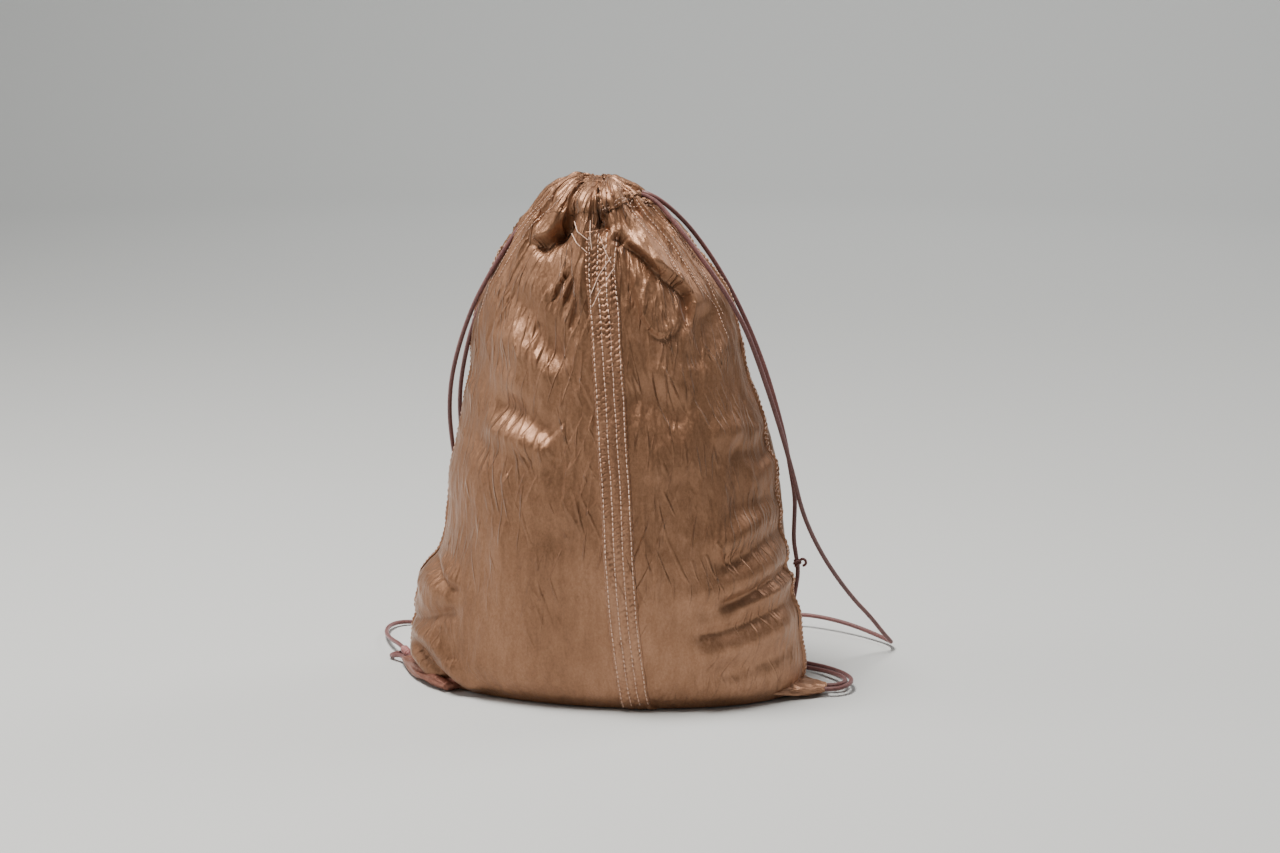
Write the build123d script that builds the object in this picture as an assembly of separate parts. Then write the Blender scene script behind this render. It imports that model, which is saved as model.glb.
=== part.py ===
from build123d import *
import math
import os

# A drawstring stuff sack, standing full with its mouth drawn shut.
# Millimetres. +Z up, the front panel faces -Y, +X is on the right seen from the front.
# The origin is on the ground, under the middle of the sack and its corner tabs.

# ---- driving dimensions ----
CLOTH = 1.3  # thickness that the crinkled cloth takes up
GAP = 0.3  # clearance between neighbouring pieces
TOP_Z = 371.0  # where the gathered mouth starts
CORD_D = 3.5  # diameter of the round drawcords
CORD_R = CORD_D / 2

# Level of the sack: height, left reach, right reach, front reach, back reach.
SACK_LEVELS = [
    (0.0, -148.0, 140.0, -70.0, 66.0),
    (12.0, -162.0, 147.0, -78.0, 74.0),
    (40.0, -165.0, 147.0, -86.0, 84.0),
    (70.0, -157.0, 142.0, -90.0, 90.0),
    (100.0, -142.0, 137.0, -92.0, 92.0),
    (145.0, -132.0, 130.0, -91.0, 91.0),
    (190.0, -125.0, 121.0, -86.0, 87.0),
    (235.0, -117.0, 108.0, -79.0, 81.0),
    (275.0, -107.0, 95.0, -71.0, 72.0),
    (310.0, -92.0, 80.0, -62.0, 62.0),
    (338.0, -76.0, 60.0, -53.0, 53.0),
    (357.0, -62.0, 39.0, -45.0, 45.0),
    (TOP_Z, -52.0, 26.0, -38.0, 38.0),
]
SECTION_POINTS = 16  # points round one level

# Centre line of the front seam, as (x, z) from the ground to the mouth.
SEAM_LINE = [(28.0, 0.0), (22.0, 70.0), (16.0, 167.0), (5.0, 289.0), (-4.0, 345.0), (-12.0, 375.0)]
SEAM_WIDTH = 22.0
SEAM_PROUD = 0.9  # how far the folded seam stands proud of the cloth
STITCH_OFFSETS = (-9.5, -3.2, 3.2, 9.5)  # the four thread rows across the seam
STITCH_WIDTH = 0.9

SIDE_SEAM_THICK = 3.2
SIDE_SEAM_PROUD = 2.0
SIDE_SEAM_BASE = 8.0  # height where the side seams meet the bottom seam

MOUTH_X = -13.0  # middle of the gathered mouth
CHANNEL_INNER_R = 26.5
CHANNEL_OUTER_R = 36.0
CHANNEL_BASE = TOP_Z + GAP
CHANNEL_TOP = 386.7
CHANNEL_END_ANGLE = 36.0  # each channel stops this far, in degrees, from the side of the mouth
TUNNEL_INNER_R = 28.8
TUNNEL_OUTER_R = 33.2
TUNNEL_BASE = 373.9
TUNNEL_TOP = 384.1
RUFFLE_TOP = 397.5
RUFFLE_R = 28.5
RUFFLE_FOLDS = 9

CORD_RING_R = 31.0  # radius of the cords inside the channels
RIGHT_RING_Z = 381.8
LEFT_RING_Z = 376.2
RING_LEAVE_ANGLE = 25.0  # where a cord leaves the ring, from the side of the mouth
RING_STEPS = 12

TAB_BASE = 0.4
TAB_TOP = 9.6
RIGHT_TAB = [(132.0, -36.0), (148.0, -30.0), (163.5, -16.0), (163.5, 6.0), (147.0, 22.0), (130.0, 26.0)]
LEFT_TAB = [(-177.0, 9.0), (-166.0, 17.0), (-148.0, 4.0), (-126.0, -40.0), (-140.0, -48.0), (-161.0, -24.0)]

KNOT_R = 3.7
LEFT_KNOT_AT = (-176.0, 24.6, 7.1)
RIGHT_KNOT_AT = (135.5, 43.5, 90.0)

# The routes and levels below are drawn about an upright line through the sack's cloth. The whole
# sack then moves by this much, so that the origin is the middle of its footprint with the tabs.
TO_ORIGIN = (6.75, 1.0, 0.0)


# ---- cord routes, chosen point by point, from the corner tab up to the mouth ----
RIGHT_FRONT_STRAND = [
    (163.5, -11.0, 6.0),
    (170.5, -11.0, 6.0),
    (178.0, -6.5, 6.8),
    (182.5, 2.0, 7.5),
    (182.5, 12.0, 7.5),
    (178.5, 22.5, 7.0),
    (171.5, 34.5, 6.0),
    (161.0, 46.0, 5.0),
    (149.5, 55.5, 4.0),
    (138.0, 63.5, 3.0),
    (127.0, 74.0, 2.2),
    (116.0, 89.0, 2.0),
    (103.0, 104.0, 2.0),
    (91.0, 119.0, 2.0),
    (83.0, 135.0, 2.4),
    (83.0, 151.0, 3.5),
    (93.0, 164.0, 6.0),
    (108.0, 170.5, 9.0),
    (125.0, 170.5, 11.0),
    (143.0, 165.5, 11.0),
    (161.0, 157.5, 10.0),
    (177.0, 149.0, 8.0),
    (191.0, 139.0, 6.0),
    (202.0, 129.5, 4.5),
    (205.5, 119.0, 6.0),
    (199.5, 109.0, 16.0),
    (189.5, 97.5, 33.0),
    (177.0, 83.0, 51.0),
    (165.5, 66.5, 72.0),
    (155.5, 49.0, 94.0),
    (147.0, 31.0, 118.0),
    (141.0, 16.0, 141.0),
    (136.5, 6.0, 166.0),
    (130.5, 0.0, 191.0),
    (124.0, -5.0, 215.0),
    (117.0, -9.0, 238.0),
    (109.5, -12.0, 261.0),
    (101.0, -15.0, 284.0),
    (90.5, -18.5, 304.0),
    (79.0, -20.0, 322.0),
    (66.5, -19.0, 339.0),
    (54.0, -15.5, 354.0),
    (43.0, -10.5, 366.0),
    (33.5, -7.0, 375.5),
]
RIGHT_BACK_STRAND = [
    (163.5, -1.5, 6.0),
    (169.5, -1.5, 6.2),
    (174.6, 0.2, 6.8),
    (177.6, 4.6, 7.2),
    (178.0, 10.0, 7.2),
    (175.0, 18.5, 6.8),
    (168.5, 28.0, 6.0),
    (159.0, 37.5, 5.0),
    (148.5, 45.5, 4.0),
    (139.5, 51.5, 3.0),
    (132.0, 57.0, 2.4),
    (126.5, 60.8, 5.4),
    (124.2, 62.8, 13.0),
    (125.2, 62.4, 24.0),
    (128.2, 59.0, 38.5),
    (131.5, 53.5, 55.0),
    (134.5, 48.0, 70.0),
    (136.5, 43.5, 84.0),
    (134.5, 43.5, 96.0),
    (132.5, 43.0, 108.0),
    (133.5, 37.0, 125.0),
    (134.5, 32.5, 145.0),
    (131.0, 30.5, 166.0),
    (126.5, 31.0, 190.0),
    (119.5, 32.0, 216.0),
    (111.0, 33.0, 243.0),
    (100.5, 33.0, 270.0),
    (89.5, 32.5, 294.0),
    (78.5, 30.5, 315.0),
    (66.5, 27.0, 335.0),
    (53.5, 21.0, 354.0),
    (43.0, 13.5, 366.5),
    (33.5, 8.0, 375.5),
]
LEFT_FRONT_STRAND = [
    (-169.0, 15.1, 6.0),
    (-173.1, 20.7, 6.2),
    (-179.0, 28.6, 8.2),
    (-186.0, 37.5, 9.4),
    (-193.0, 47.5, 8.4),
    (-199.5, 59.5, 6.8),
    (-205.5, 72.5, 5.6),
    (-209.5, 86.0, 4.8),
    (-211.0, 99.0, 4.2),
    (-209.0, 110.0, 3.8),
    (-202.5, 117.5, 3.2),
    (-192.5, 120.5, 2.6),
    (-180.5, 119.0, 2.2),
    (-168.0, 113.0, 2.0),
    (-157.0, 104.5, 2.6),
    (-149.5, 95.5, 9.0),
    (-145.0, 87.5, 24.0),
    (-141.5, 80.0, 46.0),
    (-138.5, 71.0, 73.0),
    (-136.0, 60.0, 103.0),
    (-135.0, 47.5, 133.0),
    (-135.0, 33.0, 162.0),
    (-134.5, 19.0, 188.0),
    (-133.0, 8.5, 209.0),
    (-129.5, 0.0, 231.0),
    (-123.5, -7.0, 253.0),
    (-115.5, -13.0, 275.0),
    (-106.0, -17.5, 297.0),
    (-95.0, -20.0, 317.0),
    (-84.0, -19.0, 335.0),
    (-73.0, -14.0, 353.0),
    (-64.5, -9.5, 365.0),
    (-57.5, -7.0, 372.0),
]
LEFT_BACK_STRAND = [
    (-174.2, 11.3, 6.0),
    (-178.3, 16.9, 6.0),
    (-184.5, 20.0, 4.6),
    (-189.0, 25.0, 2.8),
    (-188.0, 32.5, 2.0),
    (-181.5, 38.5, 1.9),
    (-173.0, 44.5, 1.9),
    (-164.0, 53.0, 1.9),
    (-155.5, 63.0, 2.2),
    (-148.5, 71.5, 7.0),
    (-144.5, 74.5, 20.0),
    (-140.5, 71.0, 42.0),
    (-136.0, 64.0, 70.0),
    (-131.5, 55.0, 102.0),
    (-129.0, 45.5, 134.0),
    (-128.5, 37.0, 165.0),
    (-128.5, 27.5, 190.0),
    (-127.0, 17.5, 212.0),
    (-123.5, 9.0, 233.0),
    (-118.0, 1.5, 254.0),
    (-111.5, -4.0, 275.0),
    (-103.0, -7.5, 296.0),
    (-93.5, -7.5, 316.0),
    (-83.5, -4.0, 335.0),
    (-73.5, 1.5, 352.0),
    (-65.0, 5.5, 364.5),
    (-57.5, 7.0, 371.5),
]
# How a strand turns into the channel at the side of the mouth, from the channel outwards,
# as (distance out from the mouth's middle, distance towards the front, drop).
MOUTH_ENTRY = [(29.2, 10.7, 0.0), (33.3, 7.3, 0.3), (38.4, 5.9, 1.8)]


def level_ring(level, offset, z):
    """Closed outline of one level, moved outwards by offset."""
    _, left, right, front, back = level
    middle = (left + right) / 2
    half_width = (right - left) / 2 + offset
    points = []
    for step in range(SECTION_POINTS):
        angle = 2 * math.pi * step / SECTION_POINTS
        depth = (back if math.sin(angle) > 0 else -front) + offset
        points.append((middle + half_width * math.cos(angle), depth * math.sin(angle), z))
    return Face(Wire(Spline(*points, periodic=True)))


def sack_body(offset):
    """The full sack as one solid, moved outwards by offset but never under the ground."""
    inset = max(0.0, -offset)
    sections = []
    for level in SACK_LEVELS:
        z = min(max(level[0], inset), TOP_Z - inset)
        sections.append(level_ring(level, offset, z))
    return loft(sections)


def box_between(low, high):
    """Axis-aligned box from its low corner to its high corner."""
    size = [b - a for a, b in zip(low, high)]
    centre = [(a + b) / 2 for a, b in zip(low, high)]
    return Pos(*centre) * Box(*size)


def seam_slab(left, right):
    """Upright slab in front of the sack's middle, along the seam between two offsets from its line."""
    outline = [(x + left, z) for x, z in SEAM_LINE] + [(x + right, z) for x, z in reversed(SEAM_LINE)]
    outline[0] = (outline[0][0], -5.0)
    outline[-1] = (outline[-1][0], -5.0)
    face = Plane.XZ * make_face(Polyline(*outline, close=True))
    return extrude(face, amount=150)


def biggest(shape):
    """The largest solid of a shape, as a part."""
    return max(shape.solids(), key=lambda solid: solid.volume)


def mouth_arc(radius_in, radius_out, z_low, z_high, side):
    """Ring sector round the mouth on the front (-1) or the back (+1)."""
    ring = Cylinder(radius_out, z_high - z_low) - Cylinder(radius_in, z_high - z_low)
    reach = 60.0
    spread = math.radians(CHANNEL_END_ANGLE)
    wedge = [(0.0, 0.0), (reach * math.cos(spread), side * reach * math.sin(spread))]
    wedge += [(reach, side * reach * 1.5), (-reach, side * reach * 1.5)]
    wedge += [(-reach * math.cos(spread), side * reach * math.sin(spread))]
    cutter = extrude(make_face(Polyline(*wedge, close=True)), amount=z_high - z_low, both=True)
    return Pos(MOUTH_X, 0, (z_low + z_high) / 2) * (ring & cutter)


def drawcord_channel(side):
    """Hemmed casing round the mouth, hollow where the two cords run."""
    casing = mouth_arc(CHANNEL_INNER_R, CHANNEL_OUTER_R, CHANNEL_BASE, CHANNEL_TOP, side)
    tunnel = mouth_arc(TUNNEL_INNER_R, TUNNEL_OUTER_R, TUNNEL_BASE, TUNNEL_TOP, side)
    return casing - tunnel


def fluted_face(radius, depth, z):
    points = []
    steps = RUFFLE_FOLDS * 4
    for step in range(steps):
        angle = 2 * math.pi * step / steps
        reach = radius + depth * math.cos(RUFFLE_FOLDS * angle)
        points.append((MOUTH_X + reach * math.cos(angle), reach * math.sin(angle), z))
    return Face(Wire(Spline(*points, periodic=True)))


def mouth_gathers(side):
    """Pleated cloth inside the channel and the ruffle that stands above it."""
    core_r = CHANNEL_INNER_R - GAP
    core_height = CHANNEL_TOP + GAP - CHANNEL_BASE
    core = Pos(MOUTH_X, 0, CHANNEL_BASE + core_height / 2) * Cylinder(core_r, core_height)
    low = fluted_face(core_r - 2.5, 0.8, CHANNEL_TOP + GAP)
    high = fluted_face(RUFFLE_R - 2.2, 2.2, RUFFLE_TOP)
    pleats = core + loft([low, high])
    near, far = sorted((side * GAP / 2, side * 60.0))
    return pleats & box_between((MOUTH_X - 60, near, TOP_Z), (MOUTH_X + 60, far, RUFFLE_TOP + 5))


def corner_tab(outline, keep_out):
    """Flat folded tab at a bottom corner, fitted against the sack."""
    face = make_face(Polyline(*outline, close=True))
    return biggest(Pos(0, 0, TAB_BASE) * extrude(face, amount=TAB_TOP - TAB_BASE) - keep_out)


def ring_turn(z, leave_at, turn):
    """Corner points of a cord's way round the mouth, from angle leave_at, turning by turn degrees."""
    step = turn / RING_STEPS
    corner_r = CORD_RING_R / math.cos(math.radians(step / 2))
    points = []
    for index in range(RING_STEPS):
        angle = math.radians(leave_at + step * (index + 0.5))
        points.append((MOUTH_X + corner_r * math.cos(angle), corner_r * math.sin(angle), z))
    return points


def entry(side, face, z):
    """Points from the channel out to the strand: side is +1 right, face is -1 front."""
    return [(MOUTH_X + side * out, face * away, z - drop) for out, away, drop in MOUTH_ENTRY]


def right_route():
    sweep_angle = 360.0 - 2 * RING_LEAVE_ANGLE
    ring = ring_turn(RIGHT_RING_Z, -RING_LEAVE_ANGLE, -sweep_angle)
    up = RIGHT_FRONT_STRAND + entry(1, -1, RIGHT_RING_Z)[::-1]
    down = entry(1, 1, RIGHT_RING_Z) + RIGHT_BACK_STRAND[::-1]
    return up + ring + down


def left_route():
    sweep_angle = 360.0 - 2 * RING_LEAVE_ANGLE
    ring = ring_turn(LEFT_RING_Z, 180.0 + RING_LEAVE_ANGLE, sweep_angle)
    up = LEFT_FRONT_STRAND + entry(-1, -1, LEFT_RING_Z)[::-1]
    down = entry(-1, 1, LEFT_RING_Z) + LEFT_BACK_STRAND[::-1]
    return up + ring + down


def corner_radii(route):
    """Largest fair arc at each corner: 0.45 of the shorter run over the tangent of half the turn."""
    radii = []
    for before, corner, after in zip(route, route[1:], route[2:]):
        run_in = Vector(*corner) - Vector(*before)
        run_out = Vector(*after) - Vector(*corner)
        turn = math.radians(run_in.get_angle(run_out))
        radii.append(0.45 * min(run_in.length, run_out.length) / math.tan(turn / 2))
    return radii


def cord(name, route):
    """Round cord along a route of corner points."""
    radii = corner_radii(route)
    path = FilletPolyline(*route, radius=radii)
    tube = sweep(Plane(origin=path @ 0, z_dir=path % 0) * Circle(CORD_R), path=path)
    section = math.pi * CORD_R**2
    print(name, "radii", [round(r) for r in radii], "least", round(min(radii), 1))
    print(name, "length", round(path.length), "volume ratio", round(tube.volume / (section * path.length), 4))
    return tube


def knot(centre, tube):
    """Tight overhand knot round a cord."""
    return Pos(*centre) * Sphere(KNOT_R) - tube


def build():
    outer = sack_body(0.0)
    inner = sack_body(-CLOTH)
    shell = outer - inner
    split = SIDE_SEAM_THICK / 2 + GAP
    far = 250.0
    front_half = box_between((-far, -far, -5), (far, -split, far * 2))
    back_half = box_between((-far, split, -5), (far, far, far * 2))
    front = (shell & front_half) - seam_slab(-SEAM_WIDTH / 2 - GAP, SEAM_WIDTH / 2 + GAP)
    halves = sorted(front.solids(), key=lambda solid: solid.center().X)

    nodes = {
        "packed_contents": sack_body(-CLOTH - GAP),
        "front_panel_left": halves[0],
        "front_panel_right": halves[-1],
        "back_panel": shell & back_half,
    }
    proud = sack_body(SEAM_PROUD)
    under_mouth = box_between((-far, -far, 0), (far, -split, TOP_Z - CLOTH - GAP))
    seam = (proud - inner) & seam_slab(-SEAM_WIDTH / 2, SEAM_WIDTH / 2) & under_mouth
    nodes["centre_seam_strip"] = biggest(seam)

    thread_skin = sack_body(SEAM_PROUD + GAP + 0.7) - sack_body(SEAM_PROUD + GAP)
    thread_zone = box_between((-far, -far, 4), (far, -split, TOP_Z - 8))
    rows = []
    for offset in STITCH_OFFSETS:
        slab = seam_slab(offset - STITCH_WIDTH / 2, offset + STITCH_WIDTH / 2)
        rows.append(biggest(thread_skin & slab & thread_zone))
    nodes["centre_seam_stitching"] = Compound(children=rows)

    side_skin = sack_body(SIDE_SEAM_PROUD) - inner
    rim = SIDE_SEAM_THICK / 2
    left_zone = box_between((-far, -rim, SIDE_SEAM_BASE + GAP), (-60, rim, TOP_Z - 10))
    right_zone = box_between((35, -rim, SIDE_SEAM_BASE + GAP), (far, rim, TOP_Z - 10))
    nodes["side_seam_left"] = side_skin & left_zone
    nodes["side_seam_right"] = side_skin & right_zone
    nodes["bottom_seam"] = shell & box_between((-far, -rim, -5), (far, rim, SIDE_SEAM_BASE))

    nodes["front_drawcord_channel"] = drawcord_channel(-1)
    nodes["back_drawcord_channel"] = drawcord_channel(1)
    nodes["front_mouth_gathers"] = mouth_gathers(-1)
    nodes["back_mouth_gathers"] = mouth_gathers(1)

    keep_out = sack_body(SIDE_SEAM_PROUD + GAP)
    nodes["corner_tab_right"] = corner_tab(RIGHT_TAB, keep_out)
    nodes["corner_tab_left"] = corner_tab(LEFT_TAB, keep_out)

    nodes["drawcord_right"] = cord("drawcord_right", right_route())
    nodes["drawcord_left"] = cord("drawcord_left", left_route())
    nodes["cord_knot_left"] = knot(LEFT_KNOT_AT, nodes["drawcord_left"])
    nodes["cord_knot_right"] = knot(RIGHT_KNOT_AT, nodes["drawcord_right"])
    return nodes


os.makedirs("parts", exist_ok=True)
for node_name, node_shape in build().items():
    export_step(Pos(*TO_ORIGIN) * node_shape, f"parts/{node_name}.step")
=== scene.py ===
import math
import random

import bpy
import numpy as np
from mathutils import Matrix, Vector, noise
from mathutils.bvhtree import BVHTree
from mathutils.kdtree import KDTree


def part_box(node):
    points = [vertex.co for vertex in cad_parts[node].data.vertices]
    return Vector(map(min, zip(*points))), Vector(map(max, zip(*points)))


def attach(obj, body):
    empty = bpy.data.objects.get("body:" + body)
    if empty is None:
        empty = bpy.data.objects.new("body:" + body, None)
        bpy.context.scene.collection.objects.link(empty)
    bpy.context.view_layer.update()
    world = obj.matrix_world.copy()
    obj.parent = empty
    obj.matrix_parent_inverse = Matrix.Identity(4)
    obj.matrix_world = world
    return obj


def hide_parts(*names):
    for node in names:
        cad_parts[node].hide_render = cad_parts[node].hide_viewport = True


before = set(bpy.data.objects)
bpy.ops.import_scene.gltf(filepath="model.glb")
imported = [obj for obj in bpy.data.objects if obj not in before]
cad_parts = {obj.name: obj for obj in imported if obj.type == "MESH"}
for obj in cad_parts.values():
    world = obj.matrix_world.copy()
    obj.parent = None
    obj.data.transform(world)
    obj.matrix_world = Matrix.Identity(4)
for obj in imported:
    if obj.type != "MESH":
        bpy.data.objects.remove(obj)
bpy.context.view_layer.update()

MM = 0.001
TO_ORIGIN = np.array([6.75, 1.0, 0.0])  # as in part.py, from the route's own numbers to the frame

# ---- cords: the routes of part.py, in millimetres, from the corner tab up to the mouth ----
CORD_D = 3.5
CORD_LOW = 0.05
CORD_ROOM = 2.5  # from the middle of a cord to the cloth
SIDE_SEAM_LOW = 7.0
SIDE_SEAM_TOP = 352.0
CORD_RING_R = 31.0
MOUTH_X = -13.0
RIGHT_RING_Z = 381.8
LEFT_RING_Z = 376.2
RING_LEAVE_ANGLE = 25.0
RING_STEPS = 12
RIGHT_FRONT_STRAND = [
    (163.5, -11.0, 6.0), (170.5, -11.0, 6.0), (178.0, -6.5, 6.8), (182.5, 2.0, 7.5),
    (182.5, 12.0, 7.5), (178.5, 22.5, 7.0), (171.5, 34.5, 6.0), (161.0, 46.0, 5.0),
    (149.5, 55.5, 4.0), (138.0, 63.5, 3.0), (127.0, 74.0, 2.2), (116.0, 89.0, 2.0),
    (103.0, 104.0, 2.0), (91.0, 119.0, 2.0), (83.0, 135.0, 2.4), (83.0, 151.0, 3.5),
    (93.0, 164.0, 6.0), (108.0, 170.5, 9.0), (125.0, 170.5, 11.0), (143.0, 165.5, 11.0),
    (161.0, 157.5, 10.0), (177.0, 149.0, 8.0), (191.0, 139.0, 6.0), (202.0, 129.5, 4.5),
    (205.5, 119.0, 6.0), (199.5, 109.0, 16.0), (189.5, 97.5, 33.0), (177.0, 83.0, 51.0),
    (165.5, 66.5, 72.0), (155.5, 49.0, 94.0), (147.0, 31.0, 118.0), (141.0, 16.0, 141.0),
    (136.5, 6.0, 166.0), (130.5, 0.0, 191.0), (124.0, -5.0, 215.0), (117.0, -9.0, 238.0),
    (109.5, -12.0, 261.0), (101.0, -15.0, 284.0), (90.5, -18.5, 304.0), (79.0, -20.0, 322.0),
    (66.5, -19.0, 339.0), (54.0, -15.5, 354.0), (43.0, -10.5, 366.0), (33.5, -7.0, 375.5),
]
RIGHT_BACK_STRAND = [
    (163.5, -1.5, 6.0), (169.5, -1.5, 6.2), (174.6, 0.2, 6.8), (177.6, 4.6, 7.2),
    (178.0, 10.0, 7.2), (175.0, 18.5, 6.8), (168.5, 28.0, 6.0), (159.0, 37.5, 5.0),
    (148.5, 45.5, 4.0), (139.5, 51.5, 3.0), (132.0, 57.0, 2.4), (126.5, 60.8, 5.4),
    (124.2, 62.8, 13.0), (125.2, 62.4, 24.0), (128.2, 59.0, 38.5), (131.5, 53.5, 55.0),
    (134.5, 48.0, 70.0), (136.5, 43.5, 84.0), (134.5, 43.5, 96.0), (132.5, 43.0, 108.0),
    (133.5, 37.0, 125.0), (134.5, 32.5, 145.0), (131.0, 30.5, 166.0), (126.5, 31.0, 190.0),
    (119.5, 32.0, 216.0), (111.0, 33.0, 243.0), (100.5, 33.0, 270.0), (89.5, 32.5, 294.0),
    (78.5, 30.5, 315.0), (66.5, 27.0, 335.0), (53.5, 21.0, 354.0), (43.0, 13.5, 366.5),
    (33.5, 8.0, 375.5),
]
LEFT_FRONT_STRAND = [
    (-169.0, 15.1, 6.0), (-173.1, 20.7, 6.2), (-179.0, 28.6, 8.2), (-186.0, 37.5, 9.4),
    (-193.0, 47.5, 8.4), (-199.5, 59.5, 6.8), (-205.5, 72.5, 5.6), (-209.5, 86.0, 4.8),
    (-211.0, 99.0, 4.2), (-209.0, 110.0, 3.8), (-202.5, 117.5, 3.2), (-192.5, 120.5, 2.6),
    (-180.5, 119.0, 2.2), (-168.0, 113.0, 2.0), (-157.0, 104.5, 2.6), (-149.5, 95.5, 9.0),
    (-145.0, 87.5, 24.0), (-141.5, 80.0, 46.0), (-138.5, 71.0, 73.0), (-136.0, 60.0, 103.0),
    (-135.0, 47.5, 133.0), (-135.0, 33.0, 162.0), (-134.5, 19.0, 188.0), (-133.0, 8.5, 209.0),
    (-129.5, 0.0, 231.0), (-123.5, -7.0, 253.0), (-115.5, -13.0, 275.0), (-106.0, -17.5, 297.0),
    (-95.0, -20.0, 317.0), (-84.0, -19.0, 335.0), (-73.0, -14.0, 353.0), (-64.5, -9.5, 365.0),
    (-57.5, -7.0, 372.0),
]
LEFT_BACK_STRAND = [
    (-174.2, 11.3, 6.0), (-178.3, 16.9, 6.0), (-184.5, 20.0, 4.6), (-189.0, 25.0, 2.8),
    (-188.0, 32.5, 2.0), (-181.5, 38.5, 1.9), (-173.0, 44.5, 1.9), (-164.0, 53.0, 1.9),
    (-155.5, 63.0, 2.2), (-148.5, 71.5, 7.0), (-144.5, 74.5, 20.0), (-140.5, 71.0, 42.0),
    (-136.0, 64.0, 70.0), (-131.5, 55.0, 102.0), (-129.0, 45.5, 134.0), (-128.5, 37.0, 165.0),
    (-128.5, 27.5, 190.0), (-127.0, 17.5, 212.0), (-123.5, 9.0, 233.0), (-118.0, 1.5, 254.0),
    (-111.5, -4.0, 275.0), (-103.0, -7.5, 296.0), (-93.5, -7.5, 316.0), (-83.5, -4.0, 335.0),
    (-73.5, 1.5, 352.0), (-65.0, 5.5, 364.5), (-57.5, 7.0, 371.5),
]
MOUTH_ENTRY = [(29.2, 10.7, 0.0), (33.3, 7.3, 0.3), (38.4, 5.9, 1.8)]


def ring_turn(z, leave_at, turn):
    """Corner points of a cord's way round the mouth, from angle leave_at, turning by turn degrees."""
    step = turn / RING_STEPS
    corner_r = CORD_RING_R / math.cos(math.radians(step / 2))
    points = []
    for index in range(RING_STEPS):
        angle = math.radians(leave_at + step * (index + 0.5))
        points.append((MOUTH_X + corner_r * math.cos(angle), corner_r * math.sin(angle), z))
    return points


def entry(side, face, z):
    """Points from the channel out to the strand: side is +1 right, face is -1 front."""
    return [(MOUTH_X + side * out, face * away, z - drop) for out, away, drop in MOUTH_ENTRY]


def right_route():
    turn = 360.0 - 2 * RING_LEAVE_ANGLE
    ring = ring_turn(RIGHT_RING_Z, -RING_LEAVE_ANGLE, -turn)
    up = RIGHT_FRONT_STRAND + entry(1, -1, RIGHT_RING_Z)[::-1]
    return up + ring + entry(1, 1, RIGHT_RING_Z) + RIGHT_BACK_STRAND[::-1]


def left_route():
    turn = 360.0 - 2 * RING_LEAVE_ANGLE
    ring = ring_turn(LEFT_RING_Z, 180.0 + RING_LEAVE_ANGLE, turn)
    up = LEFT_FRONT_STRAND + entry(-1, -1, LEFT_RING_Z)[::-1]
    return up + ring + entry(-1, 1, LEFT_RING_Z) + LEFT_BACK_STRAND[::-1]


# ---- camera, light and floor ----
LOOK_AT = Vector((0.0248, 0.0042, 0.2027))
CAMERA_AWAY = 1.9
CAMERA_AZIMUTH = 10.0
CAMERA_ELEVATION = 12.0
SENSOR_WIDTH = 36.0
FOCAL_LENGTH = 70.0
SACK_MIDDLE = (0.0, 0.0, 0.2)
WORLD_COLOUR = (0.93, 0.95, 1.0, 1.0)
WORLD_STRENGTH = 0.15
PAPER_COLOUR = (0.56, 0.57, 0.555, 1.0)


def camera():
    """Camera where the photo was taken from."""
    data = bpy.data.cameras.new("camera")
    data.sensor_width = SENSOR_WIDTH
    data.lens = FOCAL_LENGTH
    data.clip_end = 50.0
    cam = bpy.data.objects.new("camera", data)
    azimuth = math.radians(CAMERA_AZIMUTH)
    elevation = math.radians(CAMERA_ELEVATION)
    direction = Vector((
        math.sin(azimuth) * math.cos(elevation),
        -math.cos(azimuth) * math.cos(elevation),
        math.sin(elevation),
    ))
    cam.location = LOOK_AT + direction * CAMERA_AWAY
    cam.rotation_euler = (-direction).to_track_quat("-Z", "Y").to_euler()
    bpy.context.scene.collection.objects.link(cam)
    bpy.context.scene.camera = cam


def area_light(name, place, aim, size, power, colour):
    """Rectangular lamp that shines from its place to its aim."""
    data = bpy.data.lights.new(name, "AREA")
    data.shape = "RECTANGLE"
    data.size, data.size_y = size
    data.energy = power
    data.color = colour
    lamp = bpy.data.objects.new(name, data)
    lamp.location = place
    lamp.rotation_euler = (Vector(aim) - Vector(place)).to_track_quat("-Z", "Y").to_euler()
    bpy.context.scene.collection.objects.link(lamp)


def studio():
    """A strong soft lamp overhead, two weak ones at the sides, and one on the backdrop."""
    area_light("key_overhead", (-0.45, -0.35, 2.3), SACK_MIDDLE, (1.0, 0.7), 104.0, (1.0, 0.97, 0.94))
    area_light("side_left", (-2.4, -0.5, 1.3), SACK_MIDDLE, (0.9, 1.6), 16.0, (1.0, 0.98, 0.96))
    area_light("back_right", (1.7, 1.2, 1.9), (0.0, 0.0, 0.25), (1.0, 1.0), 22.0, (1.0, 0.98, 0.97))
    area_light("backdrop", (0.0, 2.5, 2.2), (0.0, 4.6, 0.5), (2.4, 0.5), 45.0, (1.0, 1.0, 1.0))
    world = bpy.data.worlds.new("studio_world")
    bpy.context.scene.world = world
    world.use_nodes = True
    background = world.node_tree.nodes["Background"]
    background.inputs["Color"].default_value = WORLD_COLOUR
    background.inputs["Strength"].default_value = WORLD_STRENGTH


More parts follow.
